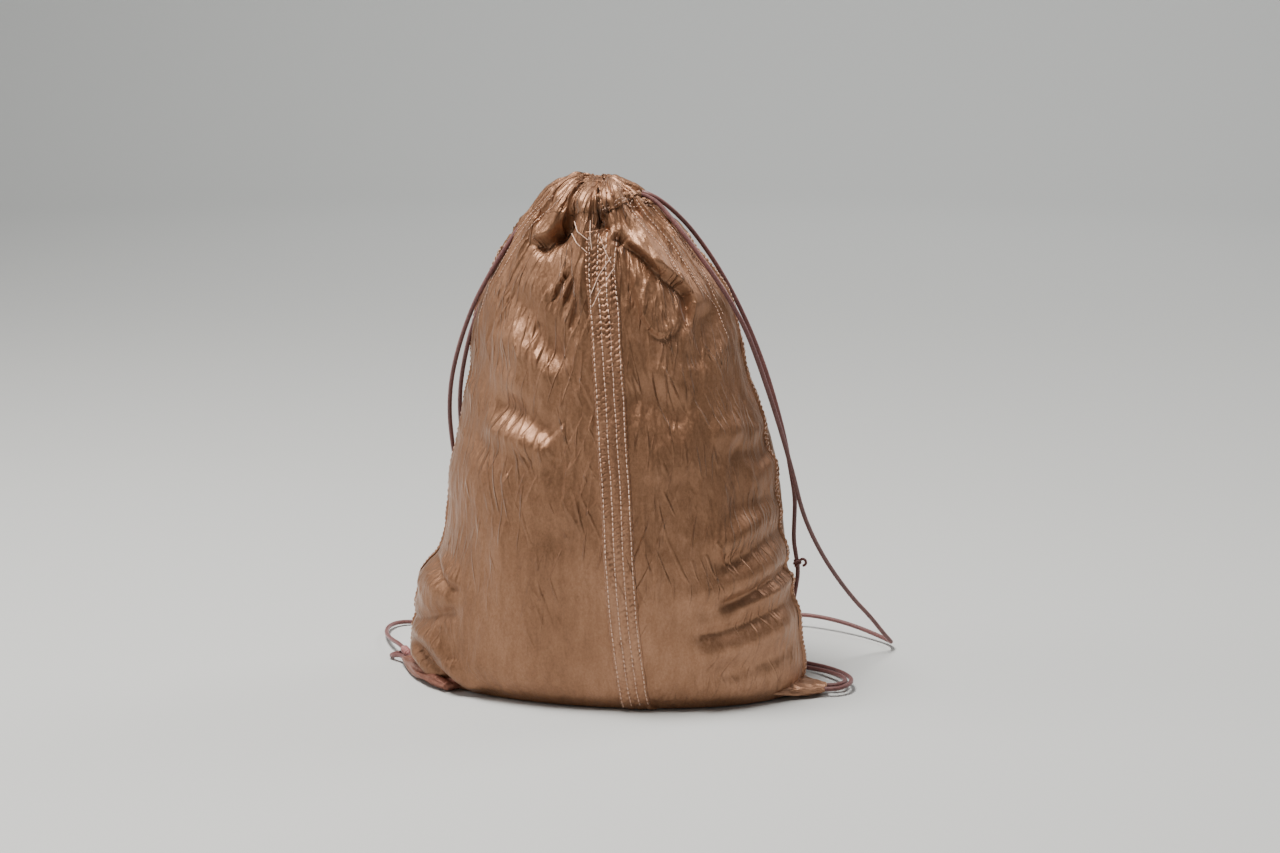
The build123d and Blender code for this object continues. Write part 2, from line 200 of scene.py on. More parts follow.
def floor():
    """Pale paper that lies flat under the sack and curves up far away on every side."""
    flat_end, curve_r, curve_steps, around = 3.2, 1.8, 24, 96
    profile_line = [(flat_end, 0.0)]
    for step in range(1, curve_steps + 1):
        angle = math.pi / 2 * step / curve_steps
        profile_line.append((flat_end + curve_r * math.sin(angle), curve_r * (1 - math.cos(angle))))
    verts, faces = [], []
    for radius, z in profile_line:
        for turn in range(around):
            angle = 2 * math.pi * turn / around
            verts.append((radius * math.cos(angle), radius * math.sin(angle), z))
    faces.append(tuple(range(around)))
    for row in range(len(profile_line) - 1):
        for turn in range(around):
            nxt = (turn + 1) % around
            low, high = row * around, (row + 1) * around
            faces.append((low + nxt, low + turn, high + turn, high + nxt))
    mesh = bpy.data.meshes.new("paper_floor")
    mesh.from_pydata(verts, [], faces)
    mesh.polygons.foreach_set("use_smooth", [True] * len(mesh.polygons))
    obj = bpy.data.objects.new("paper_floor", mesh)
    bpy.context.scene.collection.objects.link(obj)
    mat = bpy.data.materials.new("paper")
    mat.use_nodes = True
    shader = mat.node_tree.nodes["Principled BSDF"]
    shader.inputs["Base Color"].default_value = PAPER_COLOUR
    shader.inputs["Roughness"].default_value = 0.8
    mesh.materials.append(mat)


# ---- mesh helpers ----
def new_object(name, verts, faces, material):
    """Mesh object from points in millimetres of the frame."""
    mesh = bpy.data.meshes.new(name)
    mesh.from_pydata((np.asarray(verts) * MM).tolist(), [], faces)
    mesh.update()
    mesh.polygons.foreach_set("use_smooth", [True] * len(mesh.polygons))
    mesh.materials.append(material)
    obj = bpy.data.objects.new(name, mesh)
    bpy.context.scene.collection.objects.link(obj)
    return obj


def wall_faces(rings, around, start=0):
    """Quads between rings of points, each ring closed on itself."""
    faces = []
    for ring in range(rings - 1):
        low = start + ring * around
        for turn in range(around):
            nxt = (turn + 1) % around
            faces.append((low + turn, low + nxt, low + around + nxt, low + around + turn))
    return faces


def tube_faces(rings, around):
    """Walls of a tube, and fans to the two end points that come after its rings."""
    faces = wall_faces(rings, around)
    first_end = rings * around
    for turn in range(around):
        nxt = (turn + 1) % around
        faces.append((first_end, nxt, turn))
        faces.append((first_end + 1, first_end - around + turn, first_end - around + nxt))
    return faces


def grid_quads(rows, columns):
    """Quads of a grid whose last column joins its first, as (row, column, corner)."""
    index = np.arange(rows * columns).reshape(rows, columns)
    nxt = np.roll(index, -1, axis=1)
    return np.stack([index[:-1], nxt[:-1], nxt[1:], index[1:]], axis=2)


def smoothstep(low, high, value):
    t = np.clip((np.asarray(value, float) - low) / (high - low), 0.0, 1.0)
    return t * t * (3.0 - 2.0 * t)


def field_noise(points, scale, seed):
    """Perlin noise at each point, with one scale per axis, in cycles per millimetre."""
    shift = Vector((seed * 17.3, seed * 5.1, seed * 9.7))
    scaled = points * np.asarray(scale)
    return np.array([noise.noise(Vector(p) + shift) for p in scaled])


# ---- the cords ----
def cord_line(name, route):
    """A NURBS curve through the route's corner points, and the points read from it, in millimetres."""
    data = bpy.data.curves.new(name, "CURVE")
    data.dimensions = "3D"
    spline = data.splines.new("NURBS")
    spline.points.add(len(route) - 1)
    for point, place in zip(spline.points, route):
        x, y, z = (np.asarray(place) + TO_ORIGIN) * MM
        point.co = (x, y, z, 1.0)
    spline.order_u = 3
    spline.use_endpoint_u = True
    spline.resolution_u = 24
    obj = bpy.data.objects.new(name, data)
    bpy.context.scene.collection.objects.link(obj)
    bpy.context.view_layer.update()
    line = bpy.data.meshes.new_from_object(obj)
    points = np.array([v.co[:] for v in line.vertices]) / MM
    bpy.data.meshes.remove(line)
    bpy.data.objects.remove(obj)
    bpy.data.curves.remove(data)
    return points


def resample(points, step):
    """The same line with points an even step apart."""
    lengths = np.concatenate([[0.0], np.cumsum(np.linalg.norm(np.diff(points, axis=0), axis=1))])
    count = max(2, int(lengths[-1] / step) + 1)
    at = np.linspace(0.0, lengths[-1], count)
    return np.stack([np.interp(at, lengths, points[:, axis]) for axis in range(3)], axis=1), lengths[-1]


def line_frames(points):
    """Tangent, side and up of each point, with no sudden twist."""
    tangents = np.gradient(points, axis=0)
    tangents /= np.linalg.norm(tangents, axis=1)[:, None]
    side = np.cross(tangents[0], (0.0, 0.0, 1.0))
    if np.linalg.norm(side) < 0.1:
        side = np.cross(tangents[0], (0.0, 1.0, 0.0))
    side /= np.linalg.norm(side)
    sides = []
    for tangent in tangents:
        side = side - tangent * np.dot(side, tangent)
        side = side / np.linalg.norm(side)
        sides.append(side)
    sides = np.array(sides)
    return tangents, sides, np.cross(tangents, sides)


def braided_cord(name, points, radius, material, step=0.8, around=20):
    """A round cord with a braided surface: two sets of strands that cross over each other."""
    line, length = resample(points, step)
    _, sides, ups = line_frames(line)
    count = len(line)
    along = np.linspace(0.0, length, count)[:, None]
    angle = (2 * math.pi * np.arange(around) / around)[None, :]
    lay = 2 * math.pi * along / 9.0
    strands = 8
    right_hand = np.abs(np.sin(strands / 2 * (angle + lay)))
    left_hand = np.abs(np.sin(strands / 2 * (angle - lay)))
    relief = np.maximum(right_hand, left_hand) - 0.85
    reach = radius + 0.16 * relief
    ring = np.cos(angle)[..., None] * sides[:, None, :] + np.sin(angle)[..., None] * ups[:, None, :]
    verts = (line[:, None, :] + reach[..., None] * ring).reshape(-1, 3)
    verts = np.vstack([verts, line[0], line[-1]])
    verts[:, 2] = np.maximum(verts[:, 2], CORD_LOW)
    return new_object(name, verts, tube_faces(count, around), material), line, length


# ---- materials ----
UNROLL_R = 125.0  # mean radius used to unroll the cloth for its crinkles
ROUNDNESS = 1.6  # how much wider than deep the sack is
TONE_STOPS = (0.36, 0.50, 0.66)
# Dark, middle and light tone of each cloth.
NYLON_TONES = ((0.19, 0.089, 0.044), (0.29, 0.143, 0.075), (0.42, 0.222, 0.130))
SEAM_TONES = ((0.22, 0.102, 0.053), (0.33, 0.165, 0.090), (0.47, 0.262, 0.163))
TAB_TONES = ((0.22, 0.085, 0.056), (0.32, 0.135, 0.092), (0.44, 0.215, 0.150))
# The filling's tones are near black: painted shade for the dark hollow seen through the mouth, not the
# filling's own colour.
FILLING_PAINTED_SHADE_TONES = ((0.06, 0.035, 0.025), (0.09, 0.05, 0.035), (0.13, 0.08, 0.06))


def new_material(name):
    mat = bpy.data.materials.new(name)
    mat.use_nodes = True
    tree = mat.node_tree
    return mat, tree, tree.nodes["Principled BSDF"]


def noise_node(tree, vector, scale, detail=3.0, kind="FBM", roughness=0.5):
    node = tree.nodes.new("ShaderNodeTexNoise")
    node.noise_type = kind
    node.inputs["Scale"].default_value = scale
    node.inputs["Detail"].default_value = detail
    node.inputs["Roughness"].default_value = roughness
    tree.links.new(vector, node.inputs["Vector"])
    return node.outputs["Fac"]


def stretched(tree, scale):
    """Place in the sack's own frame, in metres, times one scale per axis."""
    coord = tree.nodes.new("ShaderNodeTexCoord")
    mapping = tree.nodes.new("ShaderNodeMapping")
    mapping.inputs["Scale"].default_value = scale
    tree.links.new(coord.outputs["Object"], mapping.inputs["Vector"])
    return mapping.outputs["Vector"]


def unrolled(tree, scale, lean=0.0):
    """Place on the cloth as if the sack were unrolled: around it, then up it, turned by the lean."""
    coord = tree.nodes.new("ShaderNodeTexCoord")
    split = tree.nodes.new("ShaderNodeSeparateXYZ")
    joined = tree.nodes.new("ShaderNodeCombineXYZ")
    mapping = tree.nodes.new("ShaderNodeMapping")
    tree.links.new(coord.outputs["Object"], split.inputs[0])
    forward = math_node(tree, "SUBTRACT", MIDDLE_Y * MM, split.outputs["Y"])
    ahead = math_node(tree, "MULTIPLY", forward, ROUNDNESS)
    angle = math_node(tree, "ARCTAN2", split.outputs["X"], ahead)
    tree.links.new(math_node(tree, "MULTIPLY", angle, UNROLL_R * MM), joined.inputs["X"])
    tree.links.new(split.outputs["Z"], joined.inputs["Z"])
    mapping.vector_type = "TEXTURE"
    mapping.inputs["Rotation"].default_value = (0.0, lean, 0.0)
    mapping.inputs["Scale"].default_value = [1.0 / part for part in scale]
    tree.links.new(joined.outputs[0], mapping.inputs["Vector"])
    return mapping.outputs["Vector"]


def ramp(tree, factor, stops):
    node = tree.nodes.new("ShaderNodeValToRGB")
    elements = node.color_ramp.elements
    while len(elements) < len(stops):
        elements.new(0.5)
    for element, (place, colour) in zip(elements, stops):
        element.position = place
        element.color = (*colour, 1.0)
    tree.links.new(factor, node.inputs["Fac"])
    return node.outputs["Color"]


def add_bump(tree, height, strength, distance, normal=None):
    node = tree.nodes.new("ShaderNodeBump")
    node.inputs["Strength"].default_value = strength
    node.inputs["Distance"].default_value = distance
    tree.links.new(height, node.inputs["Height"])
    if normal is not None:
        tree.links.new(normal, node.inputs["Normal"])
    return node.outputs["Normal"]


def math_node(tree, operation, first, second):
    node = tree.nodes.new("ShaderNodeMath")
    node.operation = operation
    for socket, value in zip(node.inputs, (first, second)):
        if isinstance(value, (int, float)):
            socket.default_value = value
        else:
            tree.links.new(value, socket)
    return node.outputs[0]


def weighted(tree, *parts):
    """Sum of values, each times its weight."""
    total = None
    for value, weight in parts:
        share = math_node(tree, "MULTIPLY", value, weight)
        total = share if total is None else math_node(tree, "ADD", total, share)
    return total


CRINKLE_SCALE = (92.0, 1.0, 11.0)
CRINKLE_SHARPNESS = 21.0
PATCH_LEVEL = 0.49  # patches of crinkles start where their noise is over this
PATCH_EDGE = 7.0


def crinkle_lines(tree, lean, patch_scale):
    """Long thin raised lines, all leaning one way, that come and go in patches."""
    lines = noise_node(tree, unrolled(tree, CRINKLE_SCALE, lean), 1.0, 0.6)
    patch = noise_node(tree, unrolled(tree, (patch_scale,) * 3), 1.0, 2.0)
    offset = math_node(tree, "ABSOLUTE", math_node(tree, "SUBTRACT", lines, 0.5), 0.0)
    thin = math_node(tree, "SUBTRACT", 1.0, math_node(tree, "MULTIPLY", offset, CRINKLE_SHARPNESS))
    thin = math_node(tree, "MAXIMUM", thin, 0.0)
    where = math_node(tree, "MULTIPLY", math_node(tree, "SUBTRACT", patch, PATCH_LEVEL), PATCH_EDGE)
    where = math_node(tree, "MINIMUM", math_node(tree, "MAXIMUM", where, 0.0), 1.0)
    return math_node(tree, "MULTIPLY", math_node(tree, "MULTIPLY", thin, where), above_base(tree))


def above_base(tree):
    """Grows from a little at the ground to one at mid height: the cloth is pulled smoother low down."""
    coord = tree.nodes.new("ShaderNodeTexCoord")
    split = tree.nodes.new("ShaderNodeSeparateXYZ")
    tree.links.new(coord.outputs["Object"], split.inputs[0])
    grown = math_node(tree, "ADD", math_node(tree, "MULTIPLY", split.outputs["Z"], 5.5), 0.12)
    return math_node(tree, "MINIMUM", grown, 1.0)


def satin_nylon(name, tones, crinkle=1.0):
    """Thin shiny nylon: sharp little crinkles, a fine weave, and a patchy satin gloss."""
    mat, tree, shader = new_material(name)
    broad = noise_node(tree, stretched(tree, (11, 11, 8)), 1.0, 4.0)
    speck = noise_node(tree, stretched(tree, (620, 620, 420)), 1.0, 3.0, roughness=0.7)
    streak = noise_node(tree, stretched(tree, (150, 150, 42)), 1.0, 4.0, roughness=0.6)
    tone = weighted(tree, (broad, 0.42), (speck, 0.34), (streak, 0.24))
    colour = ramp(tree, tone, list(zip(TONE_STOPS, tones)))
    tree.links.new(colour, shader.inputs["Base Color"])
    gloss = ramp(tree, speck, [(0.30, (0.33,) * 3), (0.70, (0.50,) * 3)])
    tree.links.new(gloss, shader.inputs["Roughness"])
    weave = noise_node(tree, stretched(tree, (1900, 1900, 900)), 1.0, 2.0)
    ridges = noise_node(tree, unrolled(tree, (66.0, 1.0, 17.0)), 1.0, 3.0, "RIDGED_MULTIFRACTAL", 0.42)
    pucker = noise_node(tree, stretched(tree, (240, 240, 120)), 1.0, 4.0)
    normal = None
    for lean, patch_scale in ((0.30, 19.0), (-0.34, 23.0), (0.04, 27.0)):
        thin = crinkle_lines(tree, lean, patch_scale)
        normal = add_bump(tree, thin, 0.85 * crinkle, 0.0016, normal)
    normal = add_bump(tree, ridges, 0.28 * crinkle, 0.0012, normal)
    normal = add_bump(tree, pucker, 0.50 * crinkle, 0.0008, normal)
    normal = add_bump(tree, weave, 0.55, 0.0004, normal)
    tree.links.new(normal, shader.inputs["Normal"])
    shader.inputs["Metallic"].default_value = 0.62
    shader.inputs["Specular IOR Level"].default_value = 0.6
    shader.inputs["Sheen Weight"].default_value = 0.16
    shader.inputs["Sheen Roughness"].default_value = 0.3
    shader.inputs["Sheen Tint"].default_value = (1.0, 0.80, 0.70, 1.0)
    return mat


def thread_material():
    """Pale twisted sewing thread."""
    mat, tree, shader = new_material("stitch_thread_look")
    twist = noise_node(tree, stretched(tree, (1500, 1500, 1500)), 1.0, 2.0)
    colour = ramp(tree, twist, [(0.3, (0.64, 0.37, 0.26)), (0.7, (0.90, 0.64, 0.49))])
    tree.links.new(colour, shader.inputs["Base Color"])
    tree.links.new(add_bump(tree, twist, 0.5, 0.0002), shader.inputs["Normal"])
    shader.inputs["Roughness"].default_value = 0.55
    shader.inputs["Sheen Weight"].default_value = 0.3
    return mat


def cord_material(name, dark, light):
    """Matt fibres of the drawcords."""
    mat, tree, shader = new_material(name)
    fibre = noise_node(tree, stretched(tree, (900, 900, 900)), 1.0, 4.0)
    patch = noise_node(tree, stretched(tree, (40, 40, 40)), 1.0, 2.0)
    tone = weighted(tree, (fibre, 0.7), (patch, 0.3))
    colour = ramp(tree, tone, [(0.35, dark), (0.68, light)])
    tree.links.new(colour, shader.inputs["Base Color"])
    tree.links.new(add_bump(tree, fibre, 0.5, 0.0003), shader.inputs["Normal"])
    shader.inputs["Roughness"].default_value = 0.5
    shader.inputs["Sheen Weight"].default_value = 0.35
    shader.inputs["Sheen Tint"].default_value = (1.0, 0.72, 0.74, 1.0)
    return mat


# ---- the sack's shape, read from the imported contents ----
class Hull:
    """Left, right, front and back reach of the filled sack at any height, in millimetres."""

    def __init__(self):
        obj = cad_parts["packed_contents"]
        verts = [v.co for v in obj.data.vertices]
        polys = [p.vertices for p in obj.data.polygons]
        tree = BVHTree.FromPolygons(verts, polys)
        low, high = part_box("packed_contents")
        self.heights = np.linspace(low.z + 0.0005, high.z - 0.0005, 46) / MM
        rows = []
        for height in self.heights * MM:
            left = self.reach(tree, (0.0, 0.001, height), (-1, 0, 0)).x
            right = self.reach(tree, (0.0, 0.001, height), (1, 0, 0)).x
            middle = (left + right) / 2
            front = self.reach(tree, (middle, 0.001, height), (0, -1, 0)).y
            back = self.reach(tree, (middle, 0.001, height), (0, 1, 0)).y
            rows.append((left, right, front, back))
        self.rows = np.array(rows) / MM

    @staticmethod
    def reach(tree, start, direction):
        return tree.ray_cast(Vector(start), Vector(direction))[0]

    def at(self, z):
        return [np.interp(z, self.heights, self.rows[:, column]) for column in range(4)]


# Gathered dome at the mouth: height, and reach from the mouth's middle to the right, left and in depth.
DOME = [
    (354.0, 67.0, 63.0, 47.5),
    (361.0, 59.0, 56.0, 44.5),
    (366.0, 53.0, 51.0, 42.0),
    (371.0, 47.5, 46.0, 40.5),
    (376.0, 42.5, 42.0, 39.0),
    (381.0, 38.0, 38.0, 36.5),
    (386.0, 32.5, 32.0, 31.5),
    (391.0, 23.5, 23.0, 23.0),
    (394.6, 14.0, 13.0, 13.5),
    (395.8, 8.0, 8.0, 8.0),
    (393.0, 5.0, 5.0, 5.0),
    (386.0, 3.4, 3.4, 3.4),
]
DOME_BASE = 336.0  # the dome grows out of the filled part from here
# How far the cloth bulges past its filling at the shoulders, out to the cords: height, sideways.
SHOULDERS = [(250.0, 0.0), (265.0, 2.0), (285.0, 4.5), (300.0, 5.8), (318.0, 7.0), (336.0, 7.0)]
GATHER_Z = 388.6  # upper edge of the drawcord channel
FRONT_COLUMNS = 330
BACK_COLUMNS = 210
ROW_STEP = 1.3
USUAL_HALF_WIDTH = 150.0  # the columns are spaced evenly on a sack of this size
USUAL_HALF_DEPTH = 88.0
MIDDLE_Y = 1.0
NECK_SQUEEZE = 0.5  # how far the filling narrows under the mouth's deep folds
FLAT_LEFT = 215.0  # the sack laid flat: left side seam to the centre seam
FLAT_RIGHT = 169.0  # centre seam to the right side seam
# The middle of the front seam, as across and height.
SEAM_LINE = [
    (28.0, 0.0), (22.0, 70.0), (16.0, 167.0), (5.0, 289.0), (-0.5, 330.0), (-1.5, 352.0), (-4.0, 375.0),
]
STITCH_OFFSETS = (-9.5, -3.2, 3.2, 9.5)
CLOTH_THICK = 0.5
UNDER_Z = 0.55  # height of the cloth that the sack stands on


def seam_x(z):
    """Where the centre seam runs at a height, in the frame."""
    heights = [point[1] for point in SEAM_LINE]
    across = [point[0] for point in SEAM_LINE]
    return np.interp(z, heights, across) + TO_ORIGIN[0]


def profile(hull):
    """Rows of (z, left, right, front, back) up the sack, an even step apart along its side."""
    middle = MOUTH_X + TO_ORIGIN[0]
    rows = []
    for z in np.arange(0.6, DOME_BASE, 1.0):
        left, right, front, back = hull.at(z)
        bulge = np.interp(z, *zip(*SHOULDERS))
        rows.append((z, left - 1.6 * bulge, right + bulge, front - 0.3 * bulge, back + 0.3 * bulge))
    for z, right, left, depth in DOME:
        rows.append((z, middle - left, middle + right, MIDDLE_Y - depth, MIDDLE_Y + depth))
    rows = np.array(rows)
    half = (rows[:, 2] - rows[:, 1]) / 2
    run = np.hypot(np.diff(half), np.diff(rows[:, 0]))
    along = np.concatenate([[0.0], np.cumsum(run)])
    even = np.arange(0.0, along[-1], ROW_STEP)
    even_rows = np.stack([np.interp(even, along, rows[:, col]) for col in range(5)], axis=1)
    kernel = np.hanning(9) / np.hanning(9).sum()
    smooth = even_rows.copy()
    for col in range(5):
        padded = np.pad(even_rows[:, col], 4, mode="edge")
        smooth[:, col] = np.convolve(padded, kernel, "valid")
    return smooth, even


def column_angles():
    """Angles round the sack, evenly spaced along the cloth: the front half, then the back half."""
    dense = np.linspace(math.pi, 2 * math.pi, 2001)
    run = np.hypot(USUAL_HALF_WIDTH * np.sin(dense), USUAL_HALF_DEPTH * np.cos(dense))
    along = np.concatenate([[0.0], np.cumsum((run[1:] + run[:-1]) / 2)])
    front = np.interp(np.linspace(0, along[-1], FRONT_COLUMNS + 1), along, dense)
    back = np.interp(np.linspace(0, along[-1], BACK_COLUMNS + 1), along, dense) - math.pi
    return np.concatenate([front[:-1], back[:-1]])


def base_surface(rows, angles):
    """Points of the smooth sack: one row per level, one column per angle."""
    z, left, right, front, back = (rows[:, col][:, None] for col in range(5))
    middle = (left + right) / 2
    half = (right - left) / 2
    cosine, sine = np.cos(angles)[None, :], np.sin(angles)[None, :]
    depth = np.where(sine > 0, back - MIDDLE_Y, MIDDLE_Y - front)
    x = middle + half * cosine
    y = MIDDLE_Y + depth * sine
    return np.stack([x, y, np.broadcast_to(z, x.shape)], axis=2)


def normals_of(points):
    across = np.roll(points, -1, axis=1) - np.roll(points, 1, axis=1)
    up = np.gradient(points, axis=0)
    normal = np.cross(across, up)
    return normal / np.maximum(np.linalg.norm(normal, axis=2, keepdims=True), 1e-9)


# ---- folds that the eye can name, drawn on the front as (x, z) in the frame ----
# rise and its width on the left of the line's direction, drop and its width on the right, then the line
FOLDS = [
    (7.0, 11.0, 8.0, 9.0, [(-52, 347), (-44, 349), (-37, 351), (-30, 357), (-24, 366), (-18, 377)]),
    (-8.5, 5.5, 8.5, 5.5, [(-35, 350), (-28, 355), (-23, 362), (-19, 370), (-17, 380)]),
    (-10.0, 4.0, 10.0, 4.0, [(-2, 381), (1, 372), (4, 363), (10, 353)]),
    (6.0, 6.0, -6.0, 6.0, [(-10, 396), (-9, 384), (-10, 368), (-9, 348), (-8, 322), (-6, 294)]),
    (-6.0, 2.8, 6.0, 2.8, [(14, 356), (18, 353), (22, 349)]),
    (5.5, 9.0, 5.5, 7.0, [
        (12, 357), (20, 351), (33, 343), (47, 331), (60, 320), (68, 311), (71, 298), (70, 282),
    ]),
    (2.6, 9.0, 1.6, 7.0, [
        (23, 344), (27, 330), (31, 314), (37, 298), (45, 287), (53, 284), (62, 290), (70, 303),
    ]),
    (-3.5, 2.6, 3.5, 2.6, [(-20, 374), (-16, 386), (-11, 397)]),
    (-3.5, 2.4, 3.5, 2.4, [(0, 374), (-2, 386), (-4, 397)]),
    (3.0, 6.0, -3.0, 6.0, [(12, 374), (9, 387), (3, 397)]),
    (3.0, 7.0, -3.0, 7.0, [(-34, 374), (-26, 387), (-15, 397)]),
    (-2.2, 2.4, 2.2, 2.4, [(14, 388), (20, 380), (29, 368)]),
    (-2.6, 3.0, -1.4, 4.0, [(-17, 333), (-24, 320), (-32, 306)]),
    (-2.2, 2.6, -1.4, 4.0, [(-14, 326), (-18, 315), (-22, 304)]),
    (-2.2, 2.6, -1.4, 4.0, [(-11, 314), (-14, 300), (-17, 286)]),
    (1.8, 4.0, 1.2, 3.0, [(-30, 322), (-40, 304), (-44, 288)]),
    (-5.0, 10.0, 5.0, 10.0, [(-62, 318), (-54, 304), (-42, 290), (-29, 276), (-12, 256)]),
    (4.0, 12.0, -4.0, 12.0, [(-72, 290), (-58, 272), (-40, 258), (-22, 244)]),
    (-4.0, 9.0, 4.0, 9.0, [(76, 306), (80, 290), (80, 272), (74, 256)]),
    (-3.6, 11.0, 3.6, 11.0, [(26, 246), (50, 236), (76, 216)]),
    (2.2, 7.0, -2.2, 7.0, [(38, 262), (56, 255), (78, 238)]),
    (-4.4, 9.0, 4.4, 9.0, [(-74, 234), (-60, 228), (-42, 221), (-22, 210)]),
    (4.4, 9.0, -4.4, 9.0, [(-88, 212), (-70, 209), (-52, 205), (-22, 194)]),
    (3.0, 10.0, -3.0, 10.0, [(-82, 252), (-62, 246), (-40, 240)]),
    (5.0, 14.0, -5.0, 14.0, [(-150, 68), (-138, 78), (-122, 84), (-102, 83)]),
    (-4.0, 5.0, 3.5, 6.0, [(-163, 45), (-146, 50), (-129, 58), (-99, 69)]),
    (-5.0, 4.0, 4.0, 7.0, [(-133, 99), (-127, 95), (-116, 86), (-102, 80)]),
    (4.5, 7.0, -4.5, 7.0, [(-157, 45), (-143, 42), (-129, 38), (-116, 26), (-100, 12), (-80, 3)]),
    (-4.5, 4.0, 4.5, 4.0, [(-156, 33), (-143, 28), (-129, 18), (-114, 8), (-94, 2)]),
    (3.0, 5.0, -3.0, 5.0, [(-158, 26), (-146, 20), (-134, 10), (-120, 2)]),
    (3.6, 10.0, -3.6, 10.0, [(58, 90), (80, 93), (104, 99), (126, 108), (146, 120)]),
    (-3.4, 8.0, 3.4, 8.0, [(86, 110), (106, 116), (126, 126), (144, 138)]),
    (3.4, 9.0, -3.4, 9.0, [(88, 126), (108, 134), (126, 146), (142, 152)]),
    (-4.0, 5.0, 4.0, 5.0, [(90, 82), (110, 86), (128, 94), (150, 104)]),
    (2.6, 5.0, -2.6, 5.0, [(104, 78), (120, 84), (150, 92)]),
    (-2.6, 5.0, 2.6, 5.0, [(72, 62), (98, 63), (124, 70), (152, 80)]),
    (3.6, 9.0, -3.6, 9.0, [(70, 44), (98, 48), (125, 55), (155, 66)]),
    (-2.6, 8.0, 2.6, 8.0, [(84, 24), (108, 30), (130, 36), (155, 44)]),
    (-4.2, 14.0, 4.2, 14.0, [(96, 158), (118, 156), (143, 146)]),
    (-3.6, 10.0, 3.6, 10.0, [(100, 204), (116, 196), (132, 184)]),
    (3.0, 9.0, -3.0, 9.0, [(84, 214), (104, 210), (122, 200)]),
    (2.0, 12.0, -2.0, 12.0, [(-60, 150), (-62, 110), (-70, 70)]),
    (-1.8, 16.0, 1.8, 16.0, [(-20, 160), (-25, 110), (-20, 60)]),
    (-2.0, 18.0, 2.0, 18.0, [(62, 190), (68, 150), (60, 118)]),
]
# The same for the back, where x runs the other way as the eye sees it.
BACK_FOLDS = [
    (6.0, 8.0, -6.0, 8.0, [(-8, 388), (-10, 360), (-12, 330), (-14, 300)]),
    (-7.0, 5.0, 7.0, 5.0, [(-20, 380), (-25, 362), (-30, 345)]),
    (-7.0, 5.0, 7.0, 5.0, [(6, 380), (9, 362), (13, 343)]),
    (4.5, 8.0, 5.0, 6.0, [(16, 356), (34, 340), (52, 318), (62, 296)]),
    (4.5, 8.0, -4.5, 8.0, [(-30, 352), (-48, 330), (-62, 304), (-70, 280)]),
    (-3.2, 9.0, 3.2, 9.0, [(-50, 262), (-20, 250), (18, 256)]),
    (3.2, 9.0, -3.2, 9.0, [(-64, 236), (-30, 226), (10, 234), (40, 228)]),
    (-3.0, 11.0, 3.0, 11.0, [(30, 204), (60, 190), (92, 186)]),
    (4.0, 8.0, -4.0, 8.0, [(-138, 84), (-112, 76), (-84, 80)]),
    (-4.0, 5.0, 4.0, 5.0, [(-146, 64), (-118, 60), (-92, 66)]),
    (4.2, 7.0, -4.2, 7.0, [(-150, 46), (-124, 38), (-98, 24), (-72, 8)]),
    (-4.0, 5.0, 4.0, 5.0, [(-146, 30), (-120, 20), (-96, 8)]),
    (4.5, 7.0, -4.5, 7.0, [(82, 96), (106, 90), (130, 96)]),
    (-4.0, 5.0, 4.0, 5.0, [(84, 80), (110, 76), (140, 82)]),
    (4.0, 7.0, -4.0, 7.0, [(78, 58), (108, 56), (146, 62)]),
    (-3.6, 5.0, 3.6, 5.0, [(84, 38), (112, 40), (146, 44)]),
]


def curved(line, parts=5):
    """The line's points with a smooth curve drawn through them."""
    line = np.array(line, float)
    ends = np.concatenate([[2 * line[0] - line[1]], line, [2 * line[-1] - line[-2]]])
    out = []
    for index in range(len(line) - 1):
        for step in range(parts):
            out.append(cubic(*ends[index:index + 4], step / parts))
    return np.array(out + [line[-1]])


def line_distance(x, z, line):
    """Signed distance to a line of points, positive on its left, and how far along it, from 0 to 1."""
    line = curved(line)
    runs = np.linalg.norm(np.diff(line, axis=0), axis=1)
    starts = np.concatenate([[0.0], np.cumsum(runs)])
    best = np.full(x.shape, 1e9)
    signed = np.full(x.shape, 1e9)
    place = np.zeros(x.shape)
    for index, run in enumerate(runs):
        ax, az = line[index]
        ux, uz = (line[index + 1] - line[index]) / run
        along = np.clip((x - ax) * ux + (z - az) * uz, 0.0, run)
        off_x, off_z = x - ax - along * ux, z - az - along * uz
        distance = np.hypot(off_x, off_z)
        nearer = distance < best
        best = np.where(nearer, distance, best)
        side = np.where(ux * off_z - uz * off_x >= 0, 1.0, -1.0)
        signed = np.where(nearer, distance * side, signed)
        place = np.where(nearer, (starts[index] + along) / starts[-1], place)
    return signed, place


def fold_height(signed, place, rise, rise_width, drop, drop_width):
    """Height of one fold: a ridge on the left of its line and a hollow on the right, faded at its ends."""
    left = rise * np.exp(-((signed / rise_width) ** 2))
    right = -drop * np.exp(-((signed / drop_width) ** 2))
    soft = 0.28 * min(rise_width, drop_width)
    blend = smoothstep(-soft, soft, signed)
    fade = smoothstep(0.0, 0.24, np.minimum(place, 1.0 - place))
    return (blend * left + (1.0 - blend) * right) * fade


def add_folds(height, points, folds, side):
    """Adds named folds to the height of every point on one side, front (-1) or back (+1)."""
    x, y, z = points[..., 0], points[..., 1], points[..., 2]
    on_side = (y - MIDDLE_Y) * side > -0.5
    for rise, rise_width, drop, drop_width, line in folds:
        reach = 2.6 * max(rise_width, drop_width)
        xs, zs = zip(*line)
        near = on_side & (x > min(xs) - reach) & (x < max(xs) + reach)
        near &= (z > min(zs) - reach) & (z < max(zs) + reach)
        if not near.any():
            continue
        signed, place = line_distance(x[near], z[near], line)
        height[near] += fold_height(signed, place, rise, rise_width, drop, drop_width)


CREASE_COUNT = 430
CREASE_SEED = 7


